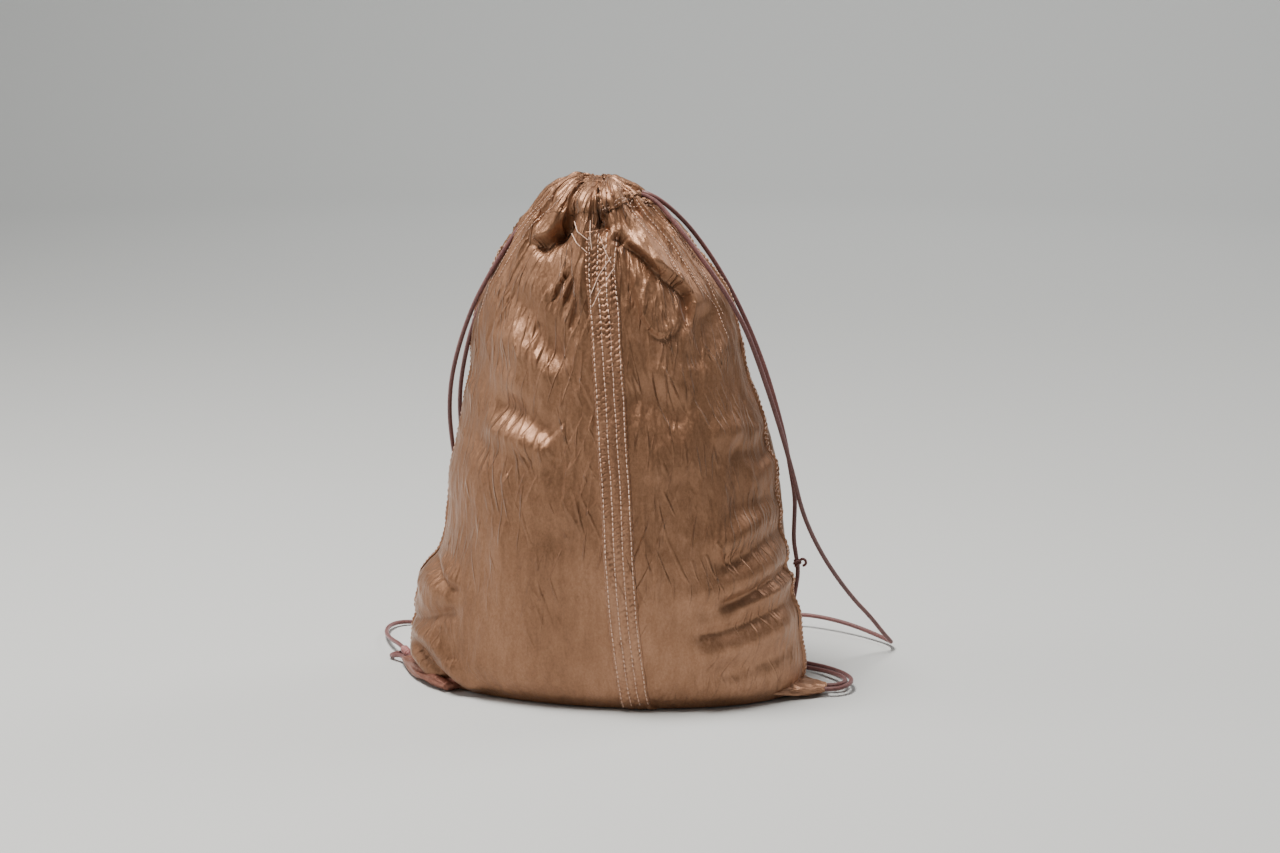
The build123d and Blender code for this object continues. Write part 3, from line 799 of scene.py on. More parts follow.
def add_creases(height, points, along, rng):
    """Thin sharp creases that run down and away from the mouth, each a short bent line."""
    rows, columns = height.shape
    widths = np.linalg.norm(np.roll(points, -1, axis=1) - points, axis=2)
    arc = np.cumsum(widths, axis=1) - widths
    total = arc[:, -1] + widths[:, -1]
    row_step = along[1] - along[0]
    for _ in range(CREASE_COUNT):
        upper = rng.random()
        start = int(rows * (0.36 + 0.57 * upper ** 0.8))
        column = rng.randrange(columns)
        length = rng.uniform(14.0, 66.0) * (0.7 + 0.5 * upper)
        lean = rng.gauss(0.0, 0.26)
        bend = rng.gauss(0.0, 0.0035)
        width = rng.uniform(0.9, 1.6)
        tall = rng.choice((1.0, 1.0, 1.0, -1.0)) * rng.uniform(0.4, 1.5)
        reach = int(length / row_step)
        low = max(2, start - reach)
        high = min(rows - 12, start)
        if high - low < 4:
            continue
        level = np.arange(low, high)
        down = (high - level) * row_step
        centre = arc[high, column] / total[high] * total[level] + lean * down + bend * down**2
        gap = arc[level] - centre[:, None]
        gap = (gap + total[level][:, None] / 2) % total[level][:, None] - total[level][:, None] / 2
        fade = np.sin(math.pi * (level - low + 0.5) / (high - low)) ** 0.7
        height[low:high] += tall * fade[:, None] * np.exp(-np.sqrt((gap / width) ** 2 + 0.15))


def pleat_height(points, angles):
    """Gathers that radiate from the mouth: deepest at the channel, gone where the sack is full."""
    z = points[..., 2]
    flat = np.stack([np.cos(angles), np.sin(angles)], axis=1) * 1.6
    warp_low = np.array([noise.noise(Vector((p[0], p[1], 3.7))) for p in flat])
    warp_high = np.array([noise.noise(Vector((2.6 * p[0], 2.6 * p[1], 8.1))) for p in flat])
    turn = angles + 0.55 * warp_low + 0.16 * warp_high
    broad = 1.0 - 2.0 * np.abs(np.sin(6.5 * turn)) ** 0.8
    fine = 1.0 - 2.0 * np.abs(np.sin(15.5 * turn + 1.3 * warp_low))
    finest = 1.0 - 2.0 * np.abs(np.sin(31.5 * angles + 2.0 * warp_high))
    near = smoothstep(300.0, 368.0, z)
    top = smoothstep(352.0, 384.0, z)
    close = 1.0 - 0.75 * smoothstep(386.0, 396.0, z)
    front_keep = 1.0 - 0.75 * np.exp(-(((angles - 1.5 * math.pi) / 0.55) ** 2))
    height = near * 3.0 * broad * front_keep + top * 1.5 * fine + top * 0.6 * finest
    return height * close


CHANNEL_LOW = 373.0  # the cords' ring round the mouth lies above this
RING_OUTSIDE = 33.6  # and within this distance of the mouth's middle
RING_SEARCH = 16.0
STRAND_SEARCH = 6.0


def stay_off_cords(points, normals, lines, keep):
    """Moves cloth off the cords: inwards under a strand outside, outwards round the ring in the channel."""
    tree = KDTree(sum(len(line) for line in lines))
    for index, point in enumerate(np.concatenate(lines)):
        tree.insert(point, index)
    tree.balance()
    middle_x = MOUTH_X + TO_ORIGIN[0]
    flat = points.reshape(-1, 3)
    flat_normals = normals.reshape(-1, 3)
    for number, point in enumerate(flat):
        near, _, distance = tree.find(point)
        from_middle = math.hypot(near.x - middle_x, near.y - MIDDLE_Y)
        in_channel = near.z > CHANNEL_LOW and from_middle < RING_OUTSIDE
        if distance > (RING_SEARCH if in_channel else keep + STRAND_SEARCH):
            continue
        away = Vector(point) - near
        outward = Vector(flat_normals[number])
        height = away.dot(outward)
        across = (away - outward * height).length
        if across >= keep:
            continue
        limit = math.sqrt(keep * keep - across * across)
        if in_channel and height < limit:
            flat[number] += flat_normals[number] * (limit - height)
        if not in_channel and height > -limit:
            flat[number] -= flat_normals[number] * (limit + height)
    return flat.reshape(points.shape)


def sheet_mesh(name, points, material, keep_face=None, thick=CLOTH_THICK):
    """A cloth piece from a grid of points: kept faces only, with a little thickness."""
    rows, columns = points.shape[:2]
    quads = grid_quads(rows, columns)[:, :-1].reshape(-1, 4)
    if keep_face is not None:
        centre = points.reshape(-1, 3)[quads].mean(axis=1)
        quads = quads[keep_face(centre)]
    used = np.unique(quads)
    renumber = np.full(rows * columns, -1)
    renumber[used] = np.arange(len(used))
    obj = new_object(name, points.reshape(-1, 3)[used], renumber[quads].tolist(), material)
    solid = obj.modifiers.new("thickness", "SOLIDIFY")
    solid.thickness = thick * MM
    solid.offset = -1.0
    return obj


# ---- the sack ----
# Cloth simulation: one point to so many rows and columns of the grid, and how far it may move the cloth.
SIM_ROW_STEP = 4
SIM_COLUMN_STEP = 3
SIM_FRAMES = 26
SPARE_LENGTH = 0.05
SHIFT_LIMIT = 12.0
SINK_LIMIT = 1.5


def settle(points, contents):
    """Cloth simulation of the loose sack over its contents: more cloth than it needs, so it buckles."""
    coarse = points[::SIM_ROW_STEP, ::SIM_COLUMN_STEP]
    quads = grid_quads(*coarse.shape[:2]).reshape(-1, 4)
    mesh = bpy.data.meshes.new("loose_cloth")
    mesh.from_pydata((coarse.reshape(-1, 3) * MM).tolist(), [], quads.tolist())
    obj = bpy.data.objects.new("loose_cloth", mesh)
    bpy.context.scene.collection.objects.link(obj)
    held = obj.vertex_groups.new(name="held")
    z = coarse[..., 2].ravel()
    weight = np.maximum(smoothstep(340.0, 372.0, z), 1.0 - smoothstep(0.5, 9.0, z))
    for number, value in enumerate(weight):
        if value > 0.02:
            held.add([number], float(value), "REPLACE")
    cloth = obj.modifiers.new("cloth", "CLOTH")
    cloth.settings.vertex_group_mass = "held"
    cloth.settings.pin_stiffness = 1.0
    cloth.settings.quality = 6
    cloth.settings.mass = 0.15
    cloth.settings.tension_stiffness = 20.0
    cloth.settings.compression_stiffness = 20.0
    cloth.settings.shear_stiffness = 10.0
    cloth.settings.bending_stiffness = 1.2
    cloth.settings.shrink_min = -SPARE_LENGTH
    cloth.settings.shrink_max = -SPARE_LENGTH
    cloth.collision_settings.distance_min = 0.001
    cloth.collision_settings.collision_quality = 3
    contents.modifiers.new("solid_contents", "COLLISION")
    contents.collision.thickness_outer = 0.001
    cloth.point_cache.frame_start = 1
    cloth.point_cache.frame_end = SIM_FRAMES
    scene = bpy.context.scene
    for number in range(1, SIM_FRAMES + 1):
        scene.frame_set(number)
    shaped = obj.evaluated_get(bpy.context.evaluated_depsgraph_get())
    moved = np.array([v.co[:] for v in shaped.data.vertices]).reshape(coarse.shape) / MM
    scene.frame_set(1)
    contents.modifiers.remove(contents.modifiers["solid_contents"])
    bpy.data.objects.remove(obj)
    shift = moved - coarse
    far = np.linalg.norm(shift, axis=2, keepdims=True)
    shift *= np.minimum(1.0, SHIFT_LIMIT / np.maximum(far, 1e-6))
    outward = normals_of(coarse)
    sunk = np.minimum((shift * outward).sum(axis=2) + SINK_LIMIT, 0.0)
    shift -= outward * sunk[..., None]
    for _ in range(2):
        shift = (np.roll(shift, 1, axis=1) + 3 * shift + np.roll(shift, -1, axis=1)) / 5
    patches = field_noise(coarse.reshape(-1, 3), (0.017, 0.017, 0.013), 11).reshape(coarse.shape[:2])
    shift *= (0.35 + 0.65 * smoothstep(-0.22, 0.22, patches))[..., None]
    taut = 1.0 - 0.72 * (1.0 - smoothstep(90.0, 215.0, coarse[..., 2]))
    taut = np.maximum(taut, smoothstep(60.0, 95.0, np.abs(coarse[..., 0])))
    taut *= smoothstep(8.0, 58.0, coarse[..., 2])
    shift *= taut[..., None]
    return points + upsample(shift, SIM_ROW_STEP, SIM_COLUMN_STEP, points.shape[:2])


def upsample(values, step_r, step_c, shape):
    """Smooth values at every point of the fine grid from every step_r-th row and step_c-th column."""
    rows = np.clip(np.arange(shape[0]) / step_r, 0, values.shape[0] - 1)
    low = np.minimum(rows.astype(int), values.shape[0] - 2)
    fine = cubic(values[np.clip(low - 1, 0, None)], values[low], values[low + 1],
                 values[np.minimum(low + 2, values.shape[0] - 1)], (rows - low)[:, None, None])
    columns = np.arange(shape[1]) / step_c
    left = columns.astype(int)
    count = values.shape[1]
    picks = [fine[:, (left + shift) % count] for shift in (-1, 0, 1, 2)]
    return cubic(*picks, (columns - left)[None, :, None])


def cubic(before, start, end, after, t):
    """Catmull-Rom blend from start to end."""
    third = 3 * (start - end) + after - before
    second = 2 * before - 5 * start + 4 * end - after
    return start + 0.5 * t * (end - before + t * (second + t * third))


def underside(points):
    """Rows that fold the lowest ring in to the bottom seam's line."""
    ring = points[0]
    rows = []
    for part in np.linspace(0.0, 1.0, 10)[:-1]:
        row = ring.copy()
        row[:, 1] = MIDDLE_Y + (ring[:, 1] - MIDDLE_Y) * part
        row[:, 2] = UNDER_Z + (ring[:, 2] - UNDER_Z) * part**6
        rows.append(row)
    return np.concatenate([np.array(rows), points])


FILLING_GAP = 5.0  # between the filling and the cloth
FILLING_LOW = 1.6
FILLING_TOP = 366.0
FILLING_COLUMNS = 120


def contents_piece(hull, material):
    """The lumpy soft filling that holds the sack up."""
    heights = np.concatenate([np.linspace(2.2, 12.0, 5)[:-1], np.linspace(12.0, FILLING_TOP, 62)])
    rows = np.array([(z, *hull.at(z)) for z in heights])
    rows[:, 1:] += FILLING_GAP * np.array([1.0, -1.0, 1.0, -1.0])
    angles = np.linspace(0, 2 * math.pi, FILLING_COLUMNS + 1)[:-1]
    points = base_surface(rows, angles)
    normal = normals_of(points)
    lumps = field_noise(points.reshape(-1, 3), (0.018,) * 3, 5).reshape(points.shape[:2])
    lumps += 0.5 * field_noise(points.reshape(-1, 3), (0.05,) * 3, 6).reshape(points.shape[:2])
    points = points + normal * (3.0 * lumps - 1.5)[..., None]
    points[..., 2] = np.maximum(points[..., 2], 1.8)
    bottom = np.array([[points[0, :, 0].mean(), MIDDLE_Y, 1.9]])
    top = np.array([[points[-1, :, 0].mean(), MIDDLE_Y, FILLING_TOP + 2.0]])
    verts = np.vstack([points.reshape(-1, 3), bottom, top])
    return new_object("contents_cushion", verts, tube_faces(len(heights), len(angles)), material)


def tuck_in(contents, cloth, room):
    """Moves the filling in where the finished cloth dips nearer to it than room, and narrows its neck."""
    middle_x = MOUTH_X + TO_ORIGIN[0]
    for vert in contents.data.vertices:
        place = vert.co / MM - vert.normal * 2.0 * room
        for _ in range(8):
            near, normal, _, _ = cloth.tree.find_nearest(place)
            depth = (near - place).dot(normal)
            if depth >= room:
                break
            place -= normal * (room - depth)
        squeeze = 1.0 - NECK_SQUEEZE * float(smoothstep(325.0, 354.0, place.z))
        place.x = middle_x + (place.x - middle_x) * squeeze
        place.y = MIDDLE_Y + (place.y - MIDDLE_Y) * squeeze
        place.z = max(place.z, FILLING_LOW)
        vert.co = place * MM


class Cloth:
    """The finished cloth surface, to lay seams and stitches on."""

    def __init__(self, points):
        self.points = points
        self.normals = normals_of(points)
        quads = grid_quads(*points.shape[:2]).reshape(-1, 4)
        self.tree = BVHTree.FromPolygons(points.reshape(-1, 3).tolist(), quads.tolist())

    def front(self, x, z):
        """The front surface's point and outward normal at a place seen from the front."""
        place, normal, _, _ = self.tree.ray_cast(Vector((x, -200.0, z)), Vector((0, 1, 0)))
        if place is None:
            place, normal, _, _ = self.tree.find_nearest(Vector((x, -40.0, z)))
        return np.array(place), np.array(normal if normal.y < 0 else -normal)

    def nearest(self, point):
        place, normal, _, _ = self.tree.find_nearest(Vector(point))
        return np.array(place), np.array(normal)


def smooth_rows(values, times=2):
    for _ in range(times):
        values[1:-1] = (values[:-2] + 2 * values[1:-1] + values[2:]) / 4
    return values


def seam_strip(cloth, material):
    """The folded seam up the front: four rows of stitching pull it into puckered ribs."""
    offsets = np.array([-11.4, -11.0, -10.3, -9.5, -8.6, -7.6, -6.4, -5.2, -4.1, -3.2, -2.2, -1.1, 0.0])
    offsets = np.concatenate([offsets, -offsets[:-1][::-1]])
    levels = np.arange(1.0, 359.0, 0.9)
    grid = np.zeros((len(levels), len(offsets), 3))
    normal = np.zeros_like(grid)
    for row, z in enumerate(levels):
        for col, offset in enumerate(offsets):
            grid[row, col], normal[row, col] = cloth.front(float(seam_x(z)) + offset, z)
    normal = smooth_rows(normal, 4)
    normal = np.swapaxes(smooth_rows(np.swapaxes(normal, 0, 1).copy(), 3), 0, 1)
    normal /= np.linalg.norm(normal, axis=2, keepdims=True)
    grid = smooth_rows(grid, 3)
    groove = np.zeros((len(levels), len(offsets)))
    for stitch in STITCH_OFFSETS:
        groove -= 0.75 * np.exp(-(((offsets - stitch) / 0.8) ** 2))[None, :]
    edge = -1.7 * smoothstep(10.4, 11.4, np.abs(offsets))[None, :]
    pucker = np.zeros_like(groove)
    for col, offset in enumerate(offsets):
        slant = levels / 4.3 + offset * 0.16
        wave = np.sin(2 * math.pi * slant + 3.0 * np.sin(levels / 37.0 + offset))
        patch = [noise.noise(Vector((offset * 0.25, z * 0.06, 4.4))) for z in levels]
        upper = 0.75 + 0.65 * smoothstep(120.0, 250.0, levels)
        pucker[:, col] = 0.62 * wave * upper * (0.65 + 1.1 * np.array(patch))
    height = 1.6 + groove + edge + pucker
    grid = grid + normal * height[..., None]
    grid[..., 2] = np.maximum(grid[..., 2], 0.4)
    return sheet_mesh("centre_seam_band", grid, material, thick=0.8), grid, normal, offsets, levels


def thread_tube(verts, faces, line, radius, around=6):
    """Adds one round closed thread along a line of points."""
    line = np.asarray(line, float)
    _, sides, ups = line_frames(line)
    start = len(verts)
    last = len(line) - 1
    for index, point in enumerate(line):
        taper = 0.45 if index in (0, last) else 1.0
        for turn in range(around):
            angle = 2 * math.pi * turn / around
            out = math.cos(angle) * sides[index] + math.sin(angle) * ups[index]
            verts.append(point + taper * radius * out)
    faces.extend(wall_faces(len(line), around, start))
    faces.append(tuple(start + turn for turn in reversed(range(around))))
    faces.append(tuple(start + last * around + turn for turn in range(around)))


def on_strip(strip, offset, z):
    _, grid, normal, offsets, levels = strip
    row = np.clip(np.searchsorted(levels, z), 1, len(levels) - 1)
    part = (z - levels[row - 1]) / (levels[row] - levels[row - 1])
    out = []
    for source in (grid, normal):
        low = [np.interp(offset, offsets, source[row - 1, :, axis]) for axis in range(3)]
        high = [np.interp(offset, offsets, source[row, :, axis]) for axis in range(3)]
        out.append(np.array(low) * (1 - part) + np.array(high) * part)
    return out


def seam_stitches(strip, material):
    """Four rows of lockstitch, each stitch a short thread that dives into the cloth at both ends."""
    verts, faces = [], []
    rng = random.Random(41)
    for number, offset in enumerate(STITCH_OFFSETS):
        z = 3.0 + number * 0.9
        while z < 353.0:
            long = 3.0 + rng.uniform(-0.25, 0.25)
            line = []
            for part in np.linspace(0.0, 1.0, 6):
                place, normal = on_strip(strip, offset + rng.uniform(-0.06, 0.06), z + long * part)
                line.append(place + normal * (0.50 * math.sin(math.pi * part) + 0.02))
            thread_tube(verts, faces, line, 0.42)
            z += long + 0.75
    return new_object("centre_seam_threads", verts, faces, material)


def surface_line(cloth, ends, lift, step=1.0):
    """Points laid on the front of the cloth along straight runs between (x, z) ends."""
    line = []
    for (x0, z0), (x1, z1) in zip(ends, ends[1:]):
        count = max(2, int(math.hypot(x1 - x0, z1 - z0) / step))
        for part in np.linspace(0.0, 1.0, count, endpoint=False):
            place, normal = cloth.front(x0 + (x1 - x0) * part, z0 + (z1 - z0) * part)
            line.append(place + normal * lift)
    line = smooth_rows(np.array(line), 14)
    out = []
    for point in line:
        place, normal = cloth.nearest(point)
        out.append(place + normal * lift)
    return smooth_rows(np.array(out), 2)


def dashed(verts, faces, line, long, gap, radius):
    """Threads along a line of points: stitches of one length with gaps between them."""
    fine, _ = resample(line, 0.5)
    per, skip = int(long / 0.5), int((long + gap) / 0.5)
    for start in range(0, len(fine) - per, skip):
        thread_tube(verts, faces, fine[start:start + per + 1], radius)


HEM_ROWS = [
    [(21, 386), (34, 368), (53, 349), (68, 329), (86, 303), (97, 276)],
    [(17, 381), (30, 364), (50, 344), (66, 322)],
    [(26, 385), (41, 368), (64, 345), (80, 320), (93, 292)],
    [(-35, 382), (-52, 366), (-70, 342), (-84, 316), (-96, 284)],
    [(-29, 379), (-47, 364), (-64, 343), (-78, 318)],
    [(-41, 380), (-57, 364), (-74, 342), (-89, 314)],
]
CROSS_ROWS = [
    [(-1, 314), (5, 327), (12, 340)],
    [(1, 305), (8, 319), (15, 332)],
    [(3, 353), (8, 345), (13, 335)],
    [(-16, 364), (-11, 358), (-5, 352)],
    [(-16, 356), (-11, 350), (-5, 343)],
    [(-5, 366), (-4, 356), (-2, 344)],
]


def hem_stitches(cloth, band, angles, material):
    """Stitching of the casing along both shoulders, and the thread tails that cross the seam's top."""
    verts, faces = [], []
    for row in HEM_ROWS:
        dashed(verts, faces, surface_line(cloth, row, 0.3), 2.4, 1.0, 0.24)
    for level in (3, 6):
        hem = smooth_rows(band[level].copy(), 3)
        outward = normals_of(band)[level]
        columns = np.flatnonzero((angles > 4.9) & (angles < 6.1))
        dashed(verts, faces, (hem + outward * 0.25)[columns], 2.4, 1.0, 0.24)
    for row in CROSS_ROWS:
        spots = [cloth.front(x, z) for x, z in row]
        taut, _ = resample(np.array([place + normal * 1.7 for place, normal in spots]), 0.8)
        thread_tube(verts, faces, taut, 0.34)
    return new_object("hem_threads", verts, faces, material)


def side_seam(name, cloth, side, low, high, material):
    """A rolled overlocked edge that stands proud along the side of the sack."""
    columns = FRONT_COLUMNS if side > 0 else 0
    levels = []
    for row in range(cloth.points.shape[0]):
        z = cloth.points[row, columns, 2]
        if low <= z <= high and (not levels or z > cloth.points[levels[-1], columns, 2]):
            levels.append(row)
    centre = smooth_rows(cloth.points[levels, columns].copy(), 3)
    outward = smooth_rows(cloth.normals[levels, columns].copy(), 6)
    outward /= np.linalg.norm(outward, axis=1)[:, None]
    tangent = np.gradient(centre, axis=0)
    tangent /= np.linalg.norm(tangent, axis=1)[:, None]
    across = np.cross(tangent, outward)
    half_section = [(-2.3, -0.3), (-1.6, 0.7), (-1.1, 1.6), (-0.4, 2.1)]
    section = half_section + [(-offset, height) for offset, height in half_section[::-1]]
    grid = np.zeros((len(levels), len(section), 3))
    wave = 0.22 * np.sin(np.arange(len(levels)) * 1.9)
    for col, (offset, height) in enumerate(section):
        swell = (1.0 + wave * (0.3 + 0.7 * min(1.0, max(0.0, height)))) * height
        grid[:, col] = centre + across * offset + outward * swell[:, None]
    return sheet_mesh(name, grid, material, thick=0.5), centre, outward, across


def overlock(name, centre, outward, across, material):
    """Thread that zigzags over the side seam's edge."""
    verts, faces = [], []
    line = []
    fine, _ = resample(centre, 0.9)
    spots = np.linspace(0, len(centre) - 1, len(fine))
    for index, spot in enumerate(spots):
        at = int(spot)
        sway = 1.5 * (1 if index % 4 < 2 else -1)
        height = 2.0 if index % 2 else 1.5
        line.append(fine[index] + across[at] * sway + outward[at] * height)
    thread_tube(verts, faces, line, 0.28, 5)
    return new_object(name, verts, faces, material)


def bottom_seam(cloth, material):
    """The seam that closes the bottom, from one corner under the sack to the other."""
    left = cloth.points[:, 0]
    right = cloth.points[:, FRONT_COLUMNS]
    low_left = [p for p in left if p[2] < 8.0][::-1]
    low_right = [p for p in right if p[2] < 8.0]
    across = np.linspace(low_left[-1][0] + 3, low_right[0][0] - 3, 120)
    under = [np.array([x, MIDDLE_Y, UNDER_Z]) for x in across]
    line, _ = resample(np.array(low_left + under + low_right), 2.0)
    line = smooth_rows(line, 3)
    grid = np.zeros((len(line), 5, 3))
    for col, offset in enumerate((-1.5, -0.9, 0.0, 0.9, 1.5)):
        grid[:, col] = line + np.array([0.0, offset, 0.0])
        grid[:, col, 2] += 0.25 * np.sin(np.arange(len(line)) * 1.3 + col)
    grid[..., 2] = np.maximum(grid[..., 2], 0.12)
    return sheet_mesh("bottom_seam_tape", grid, material, thick=0.1)


def corner_tab(name, sections, material, seed, groove=0.0):
    """A corner of the sack drawn out and folded flat: sections are centre, side direction, half sizes."""
    around = 40
    dense = []
    spots = np.linspace(0, len(sections) - 1, 46)
    data = np.array([[*centre, *direction, half, tall] for centre, direction, half, tall in sections])
    for spot in spots:
        dense.append([np.interp(spot, range(len(sections)), data[:, col]) for col in range(data.shape[1])])
    grid = np.zeros((len(dense), around, 3))
    for row, (cx, cy, cz, dx, dy, half, tall) in enumerate(dense):
        side = np.array([dx, dy, 0.0]) / math.hypot(dx, dy)
        for col in range(around):
            angle = 2 * math.pi * col / around
            c, s = math.cos(angle), math.sin(angle)
            wide = math.copysign(abs(c) ** 0.8, c) * half
            high = math.copysign(abs(s) ** 0.9, s) * tall
            crumple = noise.noise(Vector((row * 0.11, 3.0 * c, 3.0 * s + seed)))
            ripple = 0.95 * math.sin(wide * 1.0 + row * 0.07 + seed) * (1.0 if s > 0 else 0.3)
            swell = 1.0 + 0.22 * crumple
            ripple -= groove * math.exp(-((wide / 2.0) ** 2)) * max(s, 0.0)
            grid[row, col] = np.array([cx, cy, cz]) + side * wide * swell
            grid[row, col, 2] += high * swell + ripple * abs(s)
    grid[..., 2] = np.maximum(grid[..., 2], 0.25)
    ends = [grid[0].mean(axis=0), grid[-1].mean(axis=0)]
    verts = np.vstack([grid.reshape(-1, 3), ends])
    return new_object(name, verts, tube_faces(len(dense), around), material)


def knot_windings(verts, faces, line, centre, turns, radius, wire, long):
    """Cord wound tightly round a point of another cord's line; gives back that point."""
    spot = int(np.argmin(np.linalg.norm(line - np.array(centre), axis=1)))
    tangents, sides, ups = line_frames(line)
    axis, side, up = tangents[spot], sides[spot], ups[spot]
    coil = []
    for part in np.linspace(-0.5, 0.5, int(26 * turns)):
        angle = 2 * math.pi * turns * part
        reach = radius * (1.0 - 0.55 * (2 * abs(part)) ** 4)
        sway = 0.9 * math.sin(angle + 0.6)
        round_it = math.cos(angle) * side + math.sin(angle) * up
        coil.append(line[spot] + axis * (long * part + sway) + reach * round_it)
    thread_tube(verts, faces, coil, wire, 10)
    return line[spot]


def hem_line(angles):
    """Height of the channel's stitched lower edge round the mouth."""
    front_angles = [math.pi, 4.0, 4.71, 4.98, 5.40, 5.76, 6.02, 2 * math.pi]
    heights = [369.0, 368.5, 371.0, 372.0, 378.0, 382.5, 376.0, 370.0]
    front_line = np.interp(angles, front_angles, heights)
    back_line = 370.0 + 2.2 * np.sin(3 * angles) * np.sin(angles) - np.sin(angles / 2 + math.pi / 2) * 0.5
    line = np.where(angles >= math.pi - 1e-6, front_line, back_line)
    for _ in range(10):
        line = (np.roll(line, 1) + 2 * line + np.roll(line, -1)) / 4
    return line


def mouth_band(points, rows, low, high, lift):
    """The cloth of the dome between two heights, as a grid of its own, lifted off the cloth beneath."""
    z = rows[:, 0]
    crown = int(np.argmax(z))
    normals = normals_of(points)
    count = 24
    grid = np.zeros((count, points.shape[1], 3))
    for col in range(points.shape[1]):
        start = np.interp(low[col], z[: crown + 1], np.arange(crown + 1))
        end = len(z) - 1
        if not np.isnan(high[col]):
            end = np.interp(high[col], z[: crown + 1], np.arange(crown + 1))
        spots = np.linspace(start, end, count)
        base = spots.astype(int).clip(0, len(z) - 2)
        part = (spots - base)[:, None]
        place = points[base, col] * (1 - part) + points[base + 1, col] * part
        normal = normals[base, col]
        grid[:, col] = place + normal * lift[col]
    return grid


def below_mouth(centre):
    return centre[:, 2] < GATHER_Z - 2.0


def left_half(centre):
    return below_mouth(centre) & (centre[:, 0] < seam_x(centre[:, 2]))


def right_half(centre):
    return below_mouth(centre) & (centre[:, 0] >= seam_x(centre[:, 2]))


def place_piece(obj, slot, *nodes):
    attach(obj, "root")
    if nodes:
        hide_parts(*nodes)


RIGHT_LENGTH = 1.524
LEFT_LENGTH = 1.275
# Waves of the cloth: height in millimetres, cycles per millimetre on each axis, seed.
BROAD_WAVES = ((3.4, (0.016, 0.016, 0.011), 1), (1.5, (0.045, 0.045, 0.026), 2))
FINE_WAVES = ((0.55, (0.16, 0.16, 0.05), 3), (0.28, (0.42, 0.42, 0.14), 4))
GATHER_TUCK = 1.5  # the gathers start this far below the channel


def cords(plum):
    lines = []
    for name, line, length, node in (
        ("drawcord_right_braid", cord_line("right_route", right_route()), RIGHT_LENGTH, "drawcord_right"),
        ("drawcord_left_braid", cord_line("left_route", left_route()), LEFT_LENGTH, "drawcord_left"),
    ):
        obj, line, measured = braided_cord(name, line, CORD_D / 2, plum)
        print(name, "length", round(measured, 1))
        place_piece(obj, "cord", node)
        lines.append(line)
    return lines


def waves(points, layers):
    """Sum of noise layers, each (height, scale, seed)."""
    flat = points.reshape(-1, 3)
    total = 0.0
    for size, scale, seed in layers:
        total = total + size * field_noise(flat, scale, seed).reshape(points.shape[:2])
    return total


def cloth_points(rows, along, angles, contents, lines):
    """The whole cloth as one grid, from its smooth shape to its last crease."""
    points = base_surface(rows, angles)
    normal = normals_of(points)
    height = waves(points, BROAD_WAVES)
    height *= smoothstep(0.0, 40.0, points[..., 2])
    height += pleat_height(points, angles)
    points = points + normal * height[..., None]
    points = settle(points, contents)
    normal = smooth_rows(normals_of(points), 3)
    height = np.zeros(points.shape[:2])
    add_folds(height, points, FOLDS, -1)
    add_folds(height, points, BACK_FOLDS, 1)
    add_creases(height, points, along, random.Random(CREASE_SEED))
    height += waves(points, FINE_WAVES)
    z = points[..., 2]
    height *= smoothstep(-2.0, 9.0, z)
    over_channel = smoothstep(368.0, 375.0, z) * (1.0 - smoothstep(384.0, 390.0, z))
    height = np.where(height < 0.0, height * (1.0 - 0.7 * over_channel), height)
    points = points + normal * height[..., None]
    points = stay_off_cords(points, normals_of(base_surface(rows, angles)), lines, CORD_ROOM)
    points[..., 2] = np.maximum(points[..., 2], CLOTH_THICK)
    return points


def halves(grid):
    """Front and back of a grid that goes all the way round."""
    back = np.concatenate([grid[:, FRONT_COLUMNS:], grid[:, :1]], axis=1)
    return grid[:, : FRONT_COLUMNS + 1], back


def panels(points, rows, nylon):
    """The two halves of the front and the back."""
    front, back = halves(underside(points[: int(np.argmax(rows[:, 0] > GATHER_Z))]))
    for name, grid, keep, node, flat_width in (
        ("front_cloth_left", front, left_half, "front_panel_left", FLAT_LEFT),
        ("front_cloth_right", front, right_half, "front_panel_right", FLAT_RIGHT),
        ("back_cloth", back, below_mouth, "back_panel", FLAT_LEFT + FLAT_RIGHT),
    ):
        piece = sheet_mesh(name, grid, nylon, keep_face=keep)
        place_piece(piece, "sack_nylon", node)


def mouth(points, rows, angles, nylon):
    """Channels and gathered cloth of the mouth; gives back the grid of the channels."""
    hem_lift = 0.15 + 0.75 * smoothstep(4.85, 5.10, angles) * (1.0 - smoothstep(5.95, 6.20, angles))
    to_inside = np.full(len(angles), np.nan)
    gather_low = np.full(len(angles), GATHER_Z)
    band = mouth_band(points, rows, hem_line(angles), gather_low, hem_lift)
    gathers = mouth_band(points, rows, gather_low - GATHER_TUCK, to_inside, np.zeros(len(angles)))
    for grid, kind, node in (
        (band, "channel_cloth", "drawcord_channel"),
        (gathers, "gather_cloth", "mouth_gathers"),
    ):
        for side, half in zip(("front_", "back_"), halves(grid)):
            place_piece(sheet_mesh(side + kind, half, nylon), "sack_nylon", side + node)
    return band


def seams(cloth, band, angles, seam, thread):
    """Front seam, its thread, the hem's thread, the side seams and the bottom seam."""
    strip = seam_strip(cloth, seam)
    place_piece(strip[0], "seam_nylon", "centre_seam_strip")
    place_piece(seam_stitches(strip, thread), "stitch_thread", "centre_seam_stitching")
    place_piece(hem_stitches(cloth, band, angles, thread), "stitch_thread")
    for side, word in ((1, "right"), (-1, "left")):
        name = "side_seam_edge_" + word
        edge, centre, outward, across = side_seam(name, cloth, side, SIDE_SEAM_LOW, SIDE_SEAM_TOP, seam)
        place_piece(edge, "seam_nylon", "side_seam_" + word)
        loops = overlock("side_seam_overlock_" + word, centre, outward, across, thread)
        place_piece(loops, "stitch_thread")
    place_piece(bottom_seam(cloth, seam), "seam_nylon", "bottom_seam")


